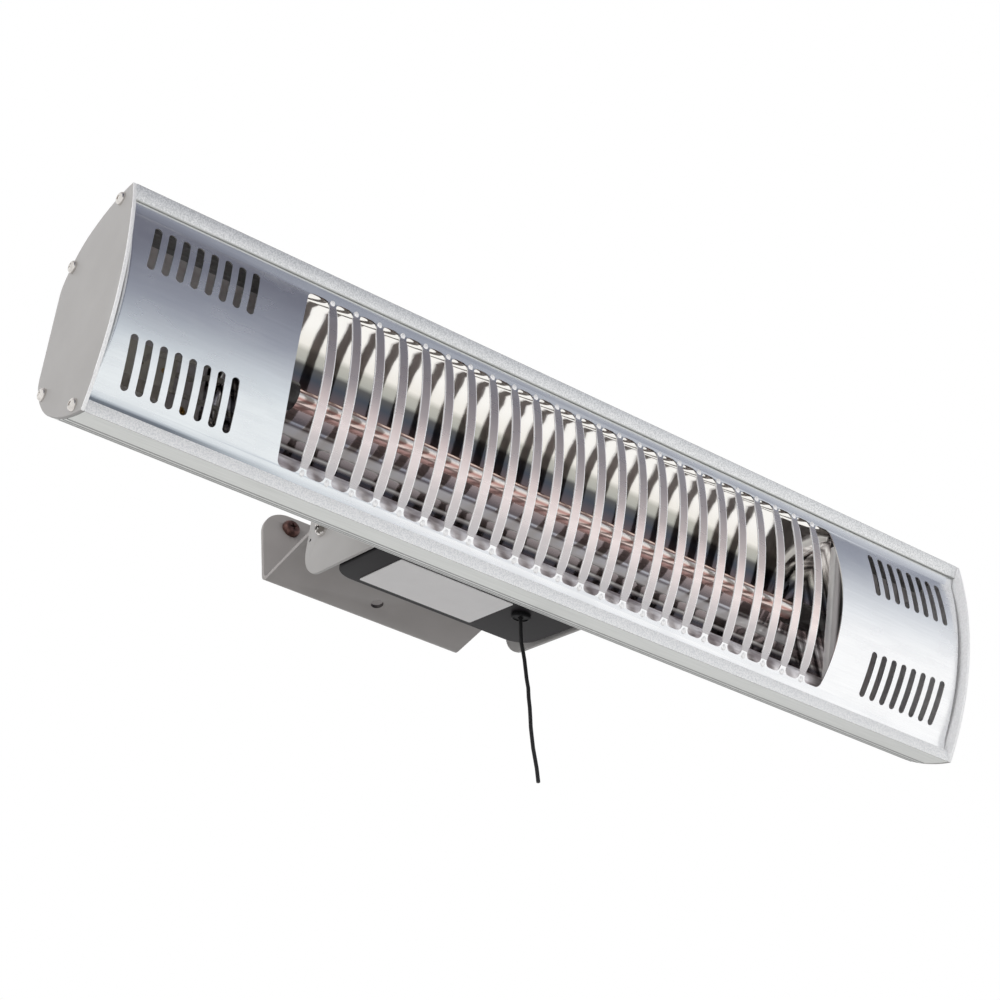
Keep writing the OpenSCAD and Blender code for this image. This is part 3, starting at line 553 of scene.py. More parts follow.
def makeCord():
    values = {"diameter": 0.0023, "sides": 3}
    points = cordPoints()
    curve = bpy.data.curves.new("pullCord", "CURVE")
    curve.dimensions = "3D"
    curve.bevel_depth = values["diameter"] / 2
    curve.bevel_resolution = values["sides"]
    curve.use_fill_caps = True
    line = curve.splines.new("POLY")
    line.points.add(len(points) - 1)
    for dot, at in zip(line.points, points):
        dot.co = (*at, 1)
    line.use_smooth = True
    cord = bpy.data.objects.new("pullCord", curve)
    scene.collection.objects.link(cord)
    curve.materials.append(cordFibre)
    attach(cord, "pull")
    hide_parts("pull_cord")


makeCord()

print("housing")
brokenEdge = 0.0003


def spinOn(y, z, radius, start, end, steps):
    # carries the selection on round an arc of the outline and returns where it ends
    a, b = math.radians(start), math.radians(end)
    centre = (0, y - radius * math.sin(a), z - radius * math.cos(a))
    bpy.ops.mesh.spin(steps=steps, angle=b - a, center=centre, axis=(1, 0, 0))
    return centre[1] + radius * math.sin(b), centre[2] + radius * math.cos(b), centre


def makeHousing():
    values = {"lipBack": 0.0012, "lipUp": 0.0574, "flangeBack": 0.006, "ribEnd": 22.0, "ribHigh": 0.0004}
    half = shape["halfHeight"]
    length = shape["length"] - 2 * shape["capThick"]
    shell = primitive("plane", size=1)
    editMode()
    # the plane becomes the sloping lip, then its two long edges are moved to their places
    pick("verts", lambda at, v: at.y > 0)
    shift(0, -0.5, half)
    pick("verts", lambda at, v: at.y < -0.1)
    shift(0, 0.5 + values["lipBack"], values["lipUp"])
    pickAll()
    bpy.ops.transform.resize(value=(length, 1, 1))
    y, z = 0.0, half
    for radius, start, end, steps in shape["arcs"]:
        pick("edges", lambda at, e: near(at.y, y) and near(at.z, z) and along(e, 0))
        y, z, centre = spinOn(y, z, radius, start, end, steps)
        if end == values["ribEnd"]:
            # three fine ribs stand out of this stretch
            step = math.radians((end - start) / steps)
            for k in range(3, steps, 6):
                turn = math.radians(start) + k * step
                out = Vector((0, math.sin(turn), math.cos(turn)))
                ridge = Vector((0, centre[1], centre[2])) + radius * out
                pick("edges", lambda at, e: near(at.y, ridge.y) and near(at.z, ridge.z) and along(e, 0))
                shift(*(out * values["ribHigh"]))
    pick("edges", lambda at, e: near(at.y, y) and near(at.z, z) and along(e, 0))
    drawOut(0, 0, -z)
    pick("edges", lambda at, e: near(at.y, values["lipBack"]) and near(at.z, values["lipUp"]) and along(e, 0))
    drawOut(0, values["flangeBack"] - values["lipBack"], 0)
    weld()
    editMode(False)
    mirrorDown(shell)
    cleanNormals(shell)
    return shell, length


shell, shellLength = makeHousing()
faceOutward(shell, (0, 1, 0))
thicken(shell, shape["wall"])
easeEdges(shell, brokenEdge)
marks = {
    "insideFrom": 0.007, "middle": 0.030, "lipTo": 0.0032, "rimTo": 0.0004, "rimUp": 0.0645,
    "ribsFrom": 0.0185, "ribsTo": 0.0340, "ribsUp": 0.05, "ribCentre": -0.0067, "ribLean": 0.15,
}


def isInside(at, n):
    return at.y > marks["insideFrom"] and n.dot(at - Vector((at.x, marks["middle"], 0))) < 0


def isRibSide(at, n):
    # the near sides of the ribs get painted shade, so they read as fine lines
    level = (at.y - marks["ribCentre"]) / shape["arcs"][0][0] - marks["ribLean"]
    return marks["ribsFrom"] < at.y < marks["ribsTo"] and abs(at.z) > marks["ribsUp"] and n.y < level


markFaces(shell, 4, isInside)
markFaces(shell, 1, lambda at, n: at.y < marks["lipTo"] and n.y < -0.5)
# painted shade: a dark line along the corner of the rim
markFaces(shell, 2, lambda at, n: at.y < marks["rimTo"] and abs(at.z) > marks["rimUp"])
markFaces(shell, 2, isRibSide)
# the lower lip gets the lit copy of the blasted silver, painted light
markFaces(shell, 3, lambda at, n: at.y < marks["lipTo"] and n.y < -0.5 and at.z < 0)
settle(shell, "housingShell", "head", [extruded, blasted, rimShade, litBlastedLow, rawInside],
       ["housing_shell"])

print("end caps")


def makeCap(side):
    values = {"bowSteps": 14, "edgeRound": 0.0006}
    half, bow = shape["halfHeight"], shape["capBow"]
    cap = primitive("plane", size=0.001)
    editMode()
    # one point, swept round the outline and then round the bowed front
    pickAll()
    bpy.ops.mesh.merge(type="CENTER")
    pick("verts", lambda at, v: True)
    shift(0, 0, half)
    y, z = 0.0, half
    for radius, start, end, steps in shape["arcs"]:
        pick("verts", lambda at, v: near(at.y, y) and near(at.z, z))
        y, z, centre = spinOn(y, z, radius, start, end, steps)
    pick("verts", lambda at, v: near(at.y, y) and near(at.z, z))
    drawOut(0, 0, -z)
    pick("verts", lambda at, v: near(at.y, 0) and near(at.z, half))
    bowRadius = (half * half + bow * bow) / (2 * bow)
    turn = -math.asin(half / bowRadius)
    bpy.ops.mesh.spin(steps=values["bowSteps"], angle=turn, center=(0, bowRadius - bow, 0), axis=(1, 0, 0))
    editMode(False)
    mirrorDown(cap)
    activate(cap)
    editMode()
    weld()
    bpy.ops.mesh.edge_face_add()
    drawOut(side * shape["capThick"], 0, 0)
    pickAll()
    shift(side * (shape["length"] / 2 - shape["capThick"]), 0, 0)
    editMode(False)
    cleanNormals(cap)
    easeEdges(cap, values["edgeRound"], 3, 40)
    markFaces(cap, 1, lambda at, n: at.y < 0.0008 and n.y < -0.25)
    markFaces(cap, 2, lambda at, n: n.x * side < -0.9)
    return cap


settle(makeCap(-1), "leftCap", "head", [capPaint, capEdge, capInner], ["left_end_cap"])
settle(makeCap(1), "rightCap", "head", [capPaint, capEdge, capInner], ["right_end_cap"])

print("screws")


def makeScrew(values, metal):
    # a pan screw with its head up: the seat at z = 0 and a cross recess in the head
    wide, high = values["head"], values["high"]
    screw = rod(wide / 2, high, 40, (0, 0, high / 2))
    editMode()
    pick("faces", lambda at, f: near(at.z, 0) and f.normal.z < -0.9)
    bpy.ops.mesh.inset(thickness=(wide - values["shank"]) / 2)
    drawOut(0, 0, -values["long"])
    if "point" in values:
        drawOut(0, 0, -values["point"])
        bpy.ops.transform.resize(value=(0.2, 0.2, 1), center_override=(0, 0, 0))
    pick("edges", lambda at, e: at.z > high - 1e-5 and len(e.link_faces) == 2)
    soften(high * 0.72, 7)
    editMode(False)
    for turn in (0, math.pi / 2):
        arm = block((values["recess"], values["recess"] * 0.24, values["deep"] * 2))
        editMode()
        pick("verts", lambda at, v: at.z < 0)
        bpy.ops.transform.resize(value=(0.45, 0.6, 1))
        pickAll()
        bpy.ops.transform.rotate(value=turn, orient_axis="Z", center_override=(0, 0, 0))
        shift(0, 0, high)
        editMode(False)
        cutWith(screw, arm)
    paint(screw, [metal, recessShade])
    # the cross recess gets the painted shade
    low, reach = high - values["deep"] / 2, values["recess"] / 2
    markFaces(screw, 1, lambda at, n: 1e-4 < at.z < low and at.xy.length < reach)
    return screw


def screwSet(values, places, name, body, metal, node, place=headPlace):
    # the screw is modelled once and copied to each place, and the set is settled as one piece
    screw = makeScrew(values, metal)
    screws = [screw] + [copyOf(screw) for spot in places[1:]]
    for copied, spot in zip(screws, places):
        copied.matrix_world = spot
    settle(joined(screws), name, body, [metal, recessShade], [node], place)


def facing(point, axis, spin=0):
    # a place with the screw's head towards +X, -X, +Y, -Y or up
    turns = {"+X": (90, "Y"), "-X": (-90, "Y"), "-Y": (90, "X"), "+Y": (-90, "X"), "+Z": (0, "X")}
    angle, about = turns[axis]
    turn = Matrix.Rotation(math.radians(angle), 4, about) @ Matrix.Rotation(math.radians(spin), 4, "Z")
    return Matrix.Translation(point) @ turn


caseScrew = {"head": 0.007, "high": 0.0026, "shank": 0.003, "long": 0.012, "recess": 0.0044, "deep": 0.0013}


def channelPlaces():
    # where the housing's screw channels run, one below each of the two large arcs of its outline
    values = {"in": 0.00485, "arcs": ((0.110, 3.5, 26.0, 9.1), (0.052, 26.0, 62.0, 50.3))}
    y, z = 0.0, shape["halfHeight"]
    places = []
    for radius, start, end, turn in values["arcs"]:
        a, b, t = math.radians(start), math.radians(end), math.radians(turn)
        cy, cz = y - radius * math.sin(a), z - radius * math.cos(a)
        reach = radius - values["in"]
        places.append((cy + reach * math.sin(t), cz + reach * math.cos(t)))
        y, z = cy + radius * math.sin(b), cz + radius * math.cos(b)
    return places


capPlaces = []
for side, axis in ((-1, "-X"), (1, "+X")):
    for n, (y, z) in enumerate(channelPlaces()):
        for up in (-1, 1):
            capPlaces.append(facing((side * shape["length"] / 2, y, up * z), axis, 20 + 35 * n * up))
screwSet(caseScrew, capPlaces, "capScrews", "head", nickel, "end_cap_screws")

boltScrew = {
    "head": 0.011, "high": 0.004, "shank": 0.006, "long": 0.0106, "recess": 0.0078, "deep": 0.003,
    "seat": 0.0754,
}
pivot = Vector(head["pivot"])
boltPlaces = []
for side, axis in ((-1, "-X"), (1, "+X")):
    boltPlaces.append(facing(pivot + Vector((side * boltScrew["seat"], 0, 0)), axis, 30))
screwSet(boltScrew, boltPlaces, "pivotBolts", "bracket", darkChrome, "pivot_bolts", wallPlace)

wallScrew = {
    "head": 0.012, "high": 0.004, "shank": 0.005, "long": 0.025, "point": 0.005, "recess": 0.0070,
    "deep": 0.002, "seat": 0.0025, "apart": 0.104,
}
wallPlaces = [facing((side * wallScrew["apart"] / 2, -wallScrew["seat"], 0), "-Y", 15) for side in (-1, 1)]
screwSet(wallScrew, wallPlaces, "wallScrews", "bracket", brownZinc, "wall_screws", wallPlace)

print("front panel")


def panelDepth(z, kink=0.0505, kinkBack=0.0026, half=0.057, edge=0.003, middle=-0.0074):
    # how far back the panel's face lies at a height: a bow between two flatter edge strips
    if abs(z) > kink:
        return kinkBack + (edge - kinkBack) * (abs(z) - kink) / (half - kink)
    sag = kinkBack - middle
    radius = (kink * kink + sag * sag) / (2 * sag)
    return middle + radius - math.sqrt(radius * radius - z * z)


def makePanel():
    values = {
        "length": 0.5868, "halfHeight": 0.057, "thick": 0.0008,
        "slots": 8, "slotPitch": 0.0082, "slotWide": 0.0044, "slotTall": 0.028, "slotIn": 0.0178,
        "slotUp": 0.0324, "slotLean": 6.4,
        "slats": 24, "slatPitch": 0.015, "slatWide": 0.0058, "neckWide": 0.0042,
        "windowUp": 0.051, "windowHalf": 0.1927, "windowRadius": 0.235, "cornerRound": 0.0032,
        "endBend": 0.0016, "endBack": 0.0004, "endBowBack": 0.0008, "endHollow": 0.0022,
        "neckFrom": 0.0415, "neckMiddle": 0.0445, "neckTo": 0.047, "through": 0.01,
        "beadIn": 0.0012, "beadUp": 0.0001, "beadSize": (0.0015, 0.0010, 0.0021, 1), "faceUp": 0.0465,
        "slatEdge": 0.0035, "endSlice": 0.0045, "endNeck": 0.0435, "slice": 0.0028, "kink": 0.0505,
    }
    panel = block((values["length"], values["thick"], 2 * values["halfHeight"]))
    cutters = []
    # one slot cutter, stretched from a cylinder, then copied into the four groups
    slot = rod(values["slotWide"] / 2, values["through"], 24, turn=(math.pi / 2, 0, 0))
    editMode()
    pull = (values["slotTall"] - values["slotWide"]) / 2
    for side in (-1, 1):
        pick("verts", lambda at, v: at.z * side > 1e-6)
        shift(0, 0, side * pull)
    editMode(False)
    for sx in (-1, 1):
        for sz in (-1, 1):
            for i in range(values["slots"]):
                x = sx * (shape["length"] / 2 - values["slotIn"] - i * values["slotPitch"])
                lean = Matrix.Rotation(-math.radians(sx * sz * values["slotLean"]), 4, "Y")
                cutters.append(copyOf(slot, (x, 0, sz * values["slotUp"]), lean))
    drop(slot)
    # one window opening, wide at its ends where the slats neck down
    wide = values["slatPitch"] - values["neckWide"]
    gap = block((wide, values["through"], 2 * values["windowUp"]))
    editMode()
    inner, mid, outer = values["neckFrom"], values["neckMiddle"], values["neckTo"]
    for z in (-outer, -mid, -inner, inner, mid, outer):
        sliceAt((0, 0, z), (0, 0, 1))
    bodyWide = values["slatPitch"] - values["slatWide"]
    pick("verts", lambda at, v: near(abs(at.z), mid))
    bpy.ops.transform.resize(value=((0.4 * wide + 0.6 * bodyWide) / wide, 1, 1))
    pick("verts", lambda at, v: near(abs(at.z), inner))
    bpy.ops.transform.resize(value=(bodyWide / wide, 1, 1))
    pick("edges", lambda at, e: near(abs(at.z), values["windowUp"]) and along(e, 1))
    soften(values["cornerRound"], 5)
    editMode(False)
    for i in range(values["slats"] - 1):
        cutters.append(copyOf(gap, ((i - (values["slats"] - 2) / 2) * values["slatPitch"], 0, 0)))
    drop(gap)
    # the two end openings run out to the window's bowed side
    lastSlat = (values["slats"] - 1) / 2 * values["slatPitch"]
    for side in (-1, 1):
        low = lastSlat + values["neckWide"] / 2
        high = values["windowHalf"]
        end = block((high - low, values["through"], 2 * values["windowUp"]), (side * (low + high) / 2, 0, 0))
        editMode()
        for k in range(-10, 11):
            sliceAt((0, 0, values["endSlice"] * k), (0, 0, 1))
        pick("verts", lambda at, v: abs(at.z) < values["endNeck"] and near(abs(at.x), low))
        shift(side * (values["slatWide"] - values["neckWide"]) / 2, 0, 0)
        pick("verts", lambda at, v: near(abs(at.x), high))
        data = bmesh.from_edit_mesh(end.data)
        for v in data.verts:
            if v.select:
                bow = values["windowRadius"] - math.sqrt(values["windowRadius"] ** 2 - v.co.z ** 2)
                v.co.x -= side * bow
        bmesh.update_edit_mesh(end.data)
        pick("edges", lambda at, e: near(abs(at.z), values["windowUp"]) and along(e, 1))
        soften(values["cornerRound"], 5)
        editMode(False)
        cutters.append(end)
    cutWith(panel, joined(cutters))
    activate(panel)
    editMode()
    for z in [values["slice"] * k for k in range(-18, 19)] + [-values["kink"], values["kink"]]:
        sliceAt((0, 0, z), (0, 0, 1))
    bendFrom = values["length"] / 2 - values["endBend"]
    for k in range(4):
        for side in (-1, 1):
            x = side * (bendFrom + values["endBend"] * k / 4)
            sliceAt((x, 0, 0), (1, 0, 0))
    weld(4e-5)
    editMode(False)
    # bowed over its height, rolled back along both ends, and its ends cut slightly hollow
    for v in panel.data.vertices:
        roll = max(0, (abs(v.co.x) - bendFrom) / values["endBend"])
        back = values["endBack"] + values["endBowBack"] * (1 - (v.co.z / values["halfHeight"]) ** 2)
        v.co.y += values["thick"] / 2 + panelDepth(v.co.z) + back * (1 - math.sqrt(max(0, 1 - roll * roll)))
        if abs(v.co.x) > bendFrom - 1e-5:
            v.co.x -= math.copysign(values["endHollow"] * (1 - (v.co.z / values["halfHeight"]) ** 2), v.co.x)
    paint(panel, [brushed, slatSteel, beadHighlight, slatBack])
    # slats: heat-tinted faces with a painted highlight band, cut edges with a painted highlight, and dull
    # backs
    slatsTo = lastSlat + values["slatEdge"]
    markFaces(panel, 1, lambda at, n: abs(at.z) < values["faceUp"] and abs(at.x) < slatsTo)
    markFaces(panel, 2, lambda at, n: abs(at.z) < values["faceUp"] and abs(at.x) < slatsTo and abs(n.x) > 0.7)
    markFaces(panel, 3, lambda at, n: n.y > 0.5)
    # a small stamped bead on each neck, painted with the highlight
    beads = []
    bead = primitive("uv_sphere", segments=12, ring_count=8, radius=1)
    for i in range(values["slats"]):
        for side in (-1, 1):
            z = side * (values["windowUp"] - values["beadIn"])
            x = (i - (values["slats"] - 1) / 2) * values["slatPitch"]
            place = Matrix.Translation((x, panelDepth(z) + values["beadUp"], z))
            twin = copyOf(bead)
            twin.matrix_world = place @ Matrix.Diagonal(values["beadSize"])
            paint(twin, [beadHighlight])
            beads.append(twin)
    drop(bead)
    return joined([panel] + beads)


panel = makePanel()
settle(panel, "frontPanel", "head", [brushed, slatSteel, beadHighlight, slatBack],
       ["front_panel"], smooth=35)

print("reflector and tube")


def makeReflector():
    values = {"length": 0.392, "half": 0.047, "back": 0.042, "focal": 0.020, "steps": 60, "thick": 0.0006}
    # the rolled lips in front of its mouth, in steps forward and outward: a fat one below, a small one above
    lips = {
        -1: [(-0.0018, -0.0030), (-0.0018, -0.0022), (-0.0016, -0.0008), (-0.0012, 0.0006), (-0.0006, 0.0018),
             (0.0001, 0.0036), (0.0003, 0.0060)],
        1: [(-0.0022, 0.0018), (-0.0022, 0.0017), (-0.0020, 0.0016), (-0.0010, 0.0019)],
    }
    trough = primitive("grid", x_subdivisions=2, y_subdivisions=values["steps"], size=1)
    trough.scale = (values["length"], 2 * values["half"], 1)
    trough.rotation_euler = (math.pi / 2, 0, 0)
    applyPlace(trough)
    for v in trough.data.vertices:
        v.co.y = values["back"] - v.co.z ** 2 / (4 * values["focal"])
    editMode()
    for side in (-1, 1):
        pick("edges", lambda at, e: near(at.z, side * values["half"]) and along(e, 0))
        for forward, outward in lips[side]:
            drawOut(0, forward, side * outward)
    editMode(False)
    modify(trough, "SOLIDIFY", thickness=values["thick"], offset=0)
    paint(trough, [mirror, rolledLip])
    mouth = values["back"] - values["half"] ** 2 / (4 * values["focal"])
    markFaces(trough, 1, lambda at, n: at.z < 0 and at.y < mouth - 0.0004)
    return trough


settle(makeReflector(), "reflectorTrough", "head", [mirror, rolledLip], ["reflector"],
       smooth=40)


def makeCheek(side, node):
    # the end plate of the trough with its polished front edge rolled outward behind the panel
    values = {"inside": 0.1965, "from": 0.0140, "roll": 0.0060, "front": 0.0025, "out": 0.006, "half": 0.0455,
              "thick": 0.0006}
    plate = cleanNormals(copyOf(node))
    x, front = side * values["inside"], values["front"] + values["roll"]
    middle = (x, (values["from"] + front) / 2, 0)
    strip = sheet(values["from"] - front, 2 * values["half"], middle, (math.pi / 2, 0, math.pi / 2))
    editMode()
    pick("edges", lambda at, e: near(at.y, front) and along(e, 2))
    bpy.ops.mesh.spin(
        steps=10, angle=-side * math.pi / 2, center=(x + side * values["roll"], front, 0), axis=(0, 0, 1)
    )
    pick("edges", lambda at, e: near(at.y, values["front"]) and along(e, 2))
    drawOut(side * values["out"], 0, 0)
    editMode(False)
    modify(strip, "SOLIDIFY", thickness=values["thick"], offset=0)
    cleanNormals(strip)
    strip.matrix_world = headPlace
    applyPlace(strip)
    paint(plate, [cheekMirror])
    paint(strip, [chromeStrip])
    return joined([plate, strip])


for side, part in ((-1, "left"), (1, "right")):
    settle(makeCheek(side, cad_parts[part + "_reflector_end"]), part + "Cheek", "head",
           [cheekMirror, chromeStrip], [part + "_reflector_end"], wallPlace)

print("bracket and yoke")


def makeBracket():
    values = {
        "half": 0.0723, "webUp": 0.0105, "shelfDown": 0.0505, "shelfOut": 0.070, "thick": 0.0025,
        "webRound": 0.020, "frontRound": 0.0065, "bend": 0.0055, "screwHalf": 0.052, "screwHole": 0.00255,
        "shelfHole": 0.004, "holeOut": 0.019, "lugRound": 0.010, "lugHole": 0.0032,
        "lugFlat": 0.002, "lugInto": 0.0015,
    }
    half, up, down, out = values["half"], values["webUp"], values["shelfDown"], values["shelfOut"]
    bracket = sheet(2 * half, 1, turn=(math.pi / 2, 0, 0))
    editMode()
    # the wall plate first, then the shelf drawn out of its lower edge
    pick("verts", lambda at, v: at.z > 0)
    shift(0, 0, up - 0.5)
    pick("verts", lambda at, v: at.z < -0.4)
    shift(0, 0, 0.5 - down)
    pick("edges", lambda at, e: near(at.z, -down))
    drawOut(0, -out, 0)
    pick("verts", lambda at, v: near(at.z, up))
    soften(values["webRound"], 14, "VERTICES")
    pick("verts", lambda at, v: near(at.y, -out))
    soften(values["frontRound"], 6, "VERTICES")
    pick("edges", lambda at, e: near(at.z, -down) and near(at.y, 0))
    soften(values["bend"], 5)
    editMode(False)
    faceOutward(bracket, (0, 1, 0))
    thicken(bracket, values["thick"])
    lugs = []
    pivotY, pivotZ = head["pivot"][1], head["pivot"][2]
    for side in (-1, 1):
        middle = (side * (half - values["thick"] / 2), pivotY, pivotZ)
        lug = rod(values["lugRound"], values["thick"], 48, middle, (0, math.pi / 2, 0))
        editMode()
        # the upper half of the disc is drawn up square to the shelf
        pick("verts", lambda at, v: at.z > pivotZ + 1e-5)
        bpy.ops.transform.resize(value=(1, 1, 0), center_override=(0, pivotY, pivotZ + values["lugFlat"]))
        pick("verts", lambda at, v: at.z > pivotZ + 1e-5)
        shift(0, 0, -pivotZ - down + values["lugInto"] - values["lugFlat"])
        editMode(False)
        lugs.append(lug)
    for lug in lugs:
        cutWith(bracket, lug, "UNION")
    for side in (-1, 1):
        roundHole(bracket, (side * values["screwHalf"], 0, 0), values["screwHole"], "Y")
    roundHole(bracket, (0, -values["holeOut"], -down), values["shelfHole"], "Z")
    roundHole(bracket, (0, pivotY, pivotZ), values["lugHole"], "X", 4 * half)
    easeEdges(bracket, brokenEdge)
    # the wall of the shelf hole gets the painted shade
    hole = Vector((0, -values["holeOut"]))
    markFaces(bracket, 1, lambda at, n: (at.xy - hole).length < values["shelfHole"] * 1.02 and abs(n.z) < 0.5)
    return bracket


settle(makeBracket(), "wallBracket", "bracket", [bracketShadedPaint, recessShade], ["wall_bracket"],
       wallPlace)


def makeYoke():
    values = {
        "half": 0.0753, "base": 0.066496, "baseUp": 0.023236, "reach": 0.1028, "earUp": 0.0296,
        "thick": 0.002, "earRound": 0.020, "bend": 0.0024, "mark": 0.0009, "markBack": 0.014,
        "markDown": 0.004, "markReach": 0.0014, "pivotHole": 0.00305, "edge": 0.00035,
        "earStart": 0.001, "earSpread": 0.003,
    }
    half, base = values["half"], values["base"]
    yoke = sheet(2 * half, 2 * values["baseUp"], (0, base, 0), (math.pi / 2, 0, 0))
    editMode()
    for side in (-1, 1):
        # each ear: drawn back from the base plate, widened, then drawn back to its full reach
        pick("edges", lambda at, e: near(at.x, side * half) and near(at.y, base))
        drawOut(0, values["bend"] + values["earStart"], 0)
        drawOut(0, values["earSpread"], 0)
        bpy.ops.transform.resize(value=(1, 1, values["earUp"] / values["baseUp"]))
        rest = values["reach"] - values["bend"] - values["earStart"] - values["earSpread"]
        drawOut(0, rest, 0)
    pick("verts", lambda at, v: near(at.y, base + values["reach"]))
    soften(values["earRound"], 14, "VERTICES")
    pick("edges", lambda at, e: near(abs(at.x), half) and near(at.y, base) and along(e, 2))
    soften(values["bend"], 5)
    editMode(False)
    faceOutward(yoke, (0, -1, 0))
    thicken(yoke, values["thick"])
    back = head["pivotBack"]
    roundHole(yoke, (0, back, 0), values["pivotHole"], "X", 4 * half)
    roundHole(yoke, (0, back + values["markBack"], -values["markDown"]), values["mark"], "X", 4 * half)
    easeEdges(yoke, values["edge"])
    # the walls of the small mark hole get the painted shade
    mark = Vector((back + values["markBack"], -values["markDown"]))
    markFaces(yoke, 1, lambda at, n: abs(n.x) < 0.3 and max(map(abs, at.yz - mark)) < values["markReach"])
    return yoke


settle(makeYoke(), "mountingYoke", "head", [capPaint, recessShade], ["mounting_yoke"])

print("switch box")
box = {
    "half": 0.071, "front": 0.068496, "back": 0.143996, "up": 0.029036, "lid": 0.002, "round": 0.015,
    "wall": 0.002, "footRound": 0.0011, "lidRound": 0.0008,
}


def boxBlock(low, high):
    # the box's outline with its round back corners, between two heights
    middle = (0, (box["front"] + box["back"]) / 2, (low + high) / 2)
    body = block((2 * box["half"], box["back"] - box["front"], high - low), middle)
    editMode()
    pick("edges", lambda at, e: near(at.y, box["back"]) and along(e, 2))
    soften(box["round"], 12)
    return body


def makeBox():
    body = boxBlock(-box["up"], box["up"] - box["lid"])
    # open on top, where the lid goes, with a soft edge round the bottom
    pick("faces", lambda at, f: near(at.z, box["up"] - box["lid"]) and f.normal.z > 0.9)
    bpy.ops.mesh.delete(type="FACE")
    editMode(False)
    thicken(body, box["wall"])
    activate(body)
    editMode()
    pick("edges", lambda at, e: near(at.z, -box["up"]))
    soften(box["footRound"], 4)
    editMode(False)
    return cleanNormals(body)


settle(makeBox(), "switchBox", "head", [charcoal], ["switch_box"])


def makeLid():
    lid = boxBlock(box["up"] - box["lid"], box["up"])
    pick("edges", lambda at, e: near(at.z, box["up"]))
    soften(box["lidRound"], 3)
    editMode(False)
    return lid


settle(makeLid(), "boxLid", "head", [charcoal], ["switch_box_lid"])


def lidPlaces():
    values = {"frontIn": 0.009, "backIn": 0.011, "sideIn": 0.011}
    places = []
    for side in (-1, 1):
        for y in (box["front"] + values["frontIn"], box["back"] - values["backIn"]):
            places.append(facing((side * (box["half"] - values["sideIn"]), y, box["up"]), "+Z", 25 * side))
    return places


screwSet(caseScrew, lidPlaces(), "lidScrews", "head", nickel, "lid_screws")


def makeLabel():
    values = {"long": 0.080, "wide": 0.045, "thick": 0.0004, "x": -0.0135, "in": 0.0475, "round": 0.0012}
    label = sheet(values["long"], values["wide"], (values["x"], box["front"] + values["in"], -box["up"]))
    editMode()
    pick("verts", lambda at, v: True)
    soften(values["round"], 5, "VERTICES")
    pickAll()
    drawOut(0, 0, -values["thick"])
    editMode(False)
    return cleanNormals(label)


settle(makeLabel(), "blankLabel", "head", [labelFilm], ["label_plate"])


def makeGrommet():
    values = {
        "flange": 0.0118, "thick": 0.0026, "bore": 0.0034, "neck": 0.009, "x": 0.039, "back": 0.103,
        "rim": 0.0013, "dish": 0.0005, "rimRound": 0.0008, "rimFrom": 0.0057,
    }
    low = -box["up"] - values["thick"]
    centre = Vector((values["x"], values["back"]))
    ring = rod(values["flange"] / 2, values["thick"], 56, (*centre, low + values["thick"] / 2))
    editMode()
    # a neck into the box, a rolled rim, and a shallow dish round the cord
    pick("faces", lambda at, f: f.normal.z > 0.9)
    bpy.ops.mesh.inset(thickness=(values["flange"] - values["neck"]) / 2)
    drawOut(0, 0, box["wall"])
    pick("faces", lambda at, f: f.normal.z < -0.9)
    bpy.ops.mesh.inset(thickness=values["rim"])
    drawOut(0, 0, values["dish"])
    pick("edges", lambda at, e: near(at.z, low) and (at.xy - centre).length > values["rimFrom"])
    soften(values["rimRound"], 4)
    editMode(False)
    roundHole(ring, (*centre, low), values["bore"] / 2, "Z", 0.02)
    return ring


settle(makeGrommet(), "cordGrommet", "head", [blackPlastic], ["cord_grommet"])

print("carried-over nodes")
nodeLooks = {
    "reflector_screws": nickel,
    "heating_tube": copper, "tube_filament": coilWire, "left_tube_ceramic": ceramic,
    "right_tube_ceramic": ceramic,
    "left_tube_clip": darkSteel, "right_tube_clip": darkSteel, "clip_screws": nickel,
    "left_lead": braid, "right_lead": braid, "switch_leads": braid,
    "terminal_block": ivory, "terminal_screws": brass, "earth_screw": brass, "housing_bush": blackPlastic,
    "yoke_screws": nickel, "cable_gland": blackPlastic, "gland_nut": blackPlastic,
    "pull_switch": blackPlastic, "switch_nut": nickel, "switch_plunger": ivory,
    "pivot_nuts": nickel, "lug_washers": blackPlastic,
}
for name, look in nodeLooks.items():
    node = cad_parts[name]
    paint(node, [look] * max(1, len(node.data.materials)))

print("stage and light")


def makeStage():
    values = {"floorDown": -1.3, "floorSize": 14, "floorGrey": 0.62, "floorLift": 0.55, "ambient": 0.40}
    floor = primitive("plane", size=values["floorSize"], location=(0, 0, values["floorDown"]))
    floor.name = "floor"
    mat = surface("paleFloor", (values["floorGrey"],) * 3, 0, 0.9)
    # to the camera the floor is paler than its grey, and in metal it shows as the same white as the world
    paths = addNode(mat, "LightPath").outputs
    lift = addNode(mat, "Math", {0: paths["Is Camera Ray"], 1: values["floorLift"]}, operation="MULTIPLY")
    feed(mat, "Emission Strength", lift.outputs["Value"])
    glow = addNode(mat, "Emission").outputs["Emission"]
    mix = addNode(mat, "MixShader", {0: paths["Is Glossy Ray"], 1: shaderOf(mat).outputs["BSDF"], 2: glow})
    showAs(mat, mix.outputs["Shader"])
    floor.data.materials.append(mat)
    # the world is white where it is seen, also in metal, and softer as a light
    world = bpy.data.worlds.new("studio")
    scene.world = world
    world.use_nodes = True
    paths = addNode(world, "LightPath").outputs
    seen = paths["Is Camera Ray"]
    for kind in ("Is Glossy Ray", "Is Transmission Ray"):
        seen = addNode(world, "Math", {0: seen, 1: paths[kind]}, operation="MAXIMUM").outputs["Value"]
    sky = world.node_tree.nodes["Background"]
    sky.inputs["Color"].default_value = (1, 1, 1, 1)
    world.node_tree.links.new(rangeOf(world, seen, 0, 1, values["ambient"], 1), sky.inputs["Strength"])


makeStage()


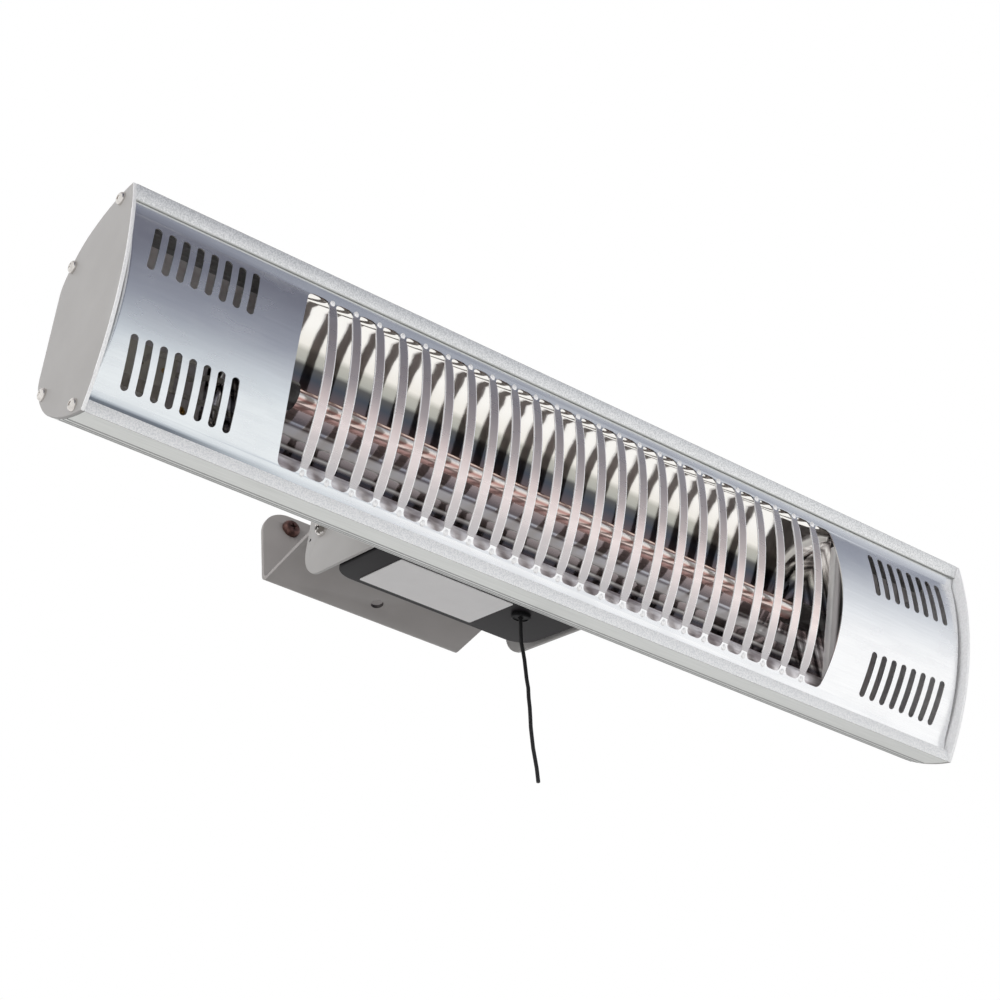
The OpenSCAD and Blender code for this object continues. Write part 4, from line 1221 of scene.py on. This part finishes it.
headSpot = Vector((0, -0.2, -0.1))
lampSpot = Vector((0, -0.1, -0.1))


def reflectorCard(name, middle, size, slope, start, end, stops):
    # a studio card that shows only in metal, shaded along a slope in its own plane
    card = sheet(*size)
    card.name = name
    aim = (headSpot - Vector(middle)).to_track_quat("Z", "Y")
    card.matrix_world = Matrix.Translation(middle) @ aim.to_matrix().to_4x4()
    mat = bpy.data.materials.new(name)
    mat.use_nodes = True
    mat.node_tree.nodes.remove(shaderOf(mat))
    place = addNode(mat, "TexCoord").outputs["Object"]
    dot = addNode(mat, "VectorMath", {0: place, 1: (*slope, 0)}, operation="DOT_PRODUCT").outputs["Value"]
    shade = colorRamp(mat, rangeOf(mat, dot, start, end), stops, None)
    showAs(mat, addNode(mat, "Emission", {"Color": shade}).outputs["Emission"])
    card.data.materials.append(mat)
    for ray in ("camera", "diffuse", "shadow", "transmission"):
        setattr(card, "visible_" + ray, False)


reflectorCard("frontCard", (0.9, -2.3, 0.7), (6.4, 5.6), (-0.30, -0.45), -0.5, 1.0, [
    (0.0, (0.143, 0.148, 0.186)), (0.36, (0.305, 0.324, 0.38)), (0.60, (0.74, 0.765, 0.80)), (0.80, white),
])
reflectorCard("ceilingCard", (0, -0.9, 2.9), (5.0, 2.6), (1, 0), -1, 1, [
    (0.0, (0.30, 0.28, 0.28)), (1.0, (0.62, 0.60, 0.62)),
])


def areaLight(name, place, size, power):
    data = bpy.data.lights.new(name, "AREA")
    data.shape = "RECTANGLE"
    data.size, data.size_y = size
    data.energy = power
    lamp = bpy.data.objects.new(name, data)
    scene.collection.objects.link(lamp)
    lamp.location = place
    lamp.rotation_euler = (lampSpot - Vector(place)).to_track_quat("-Z", "Y").to_euler()
    lamp.visible_glossy = False


areaLight("lowLight", (-0.6, -1.0, -0.9), (1.4, 1.0), 2.6)
areaLight("frontLight", (1.1, -2.2, -0.4), (1.8, 1.8), 15)
areaLight("leftLight", (-3.6, -1.0, 0.5), (2.0, 2.0), 46)

print("done")
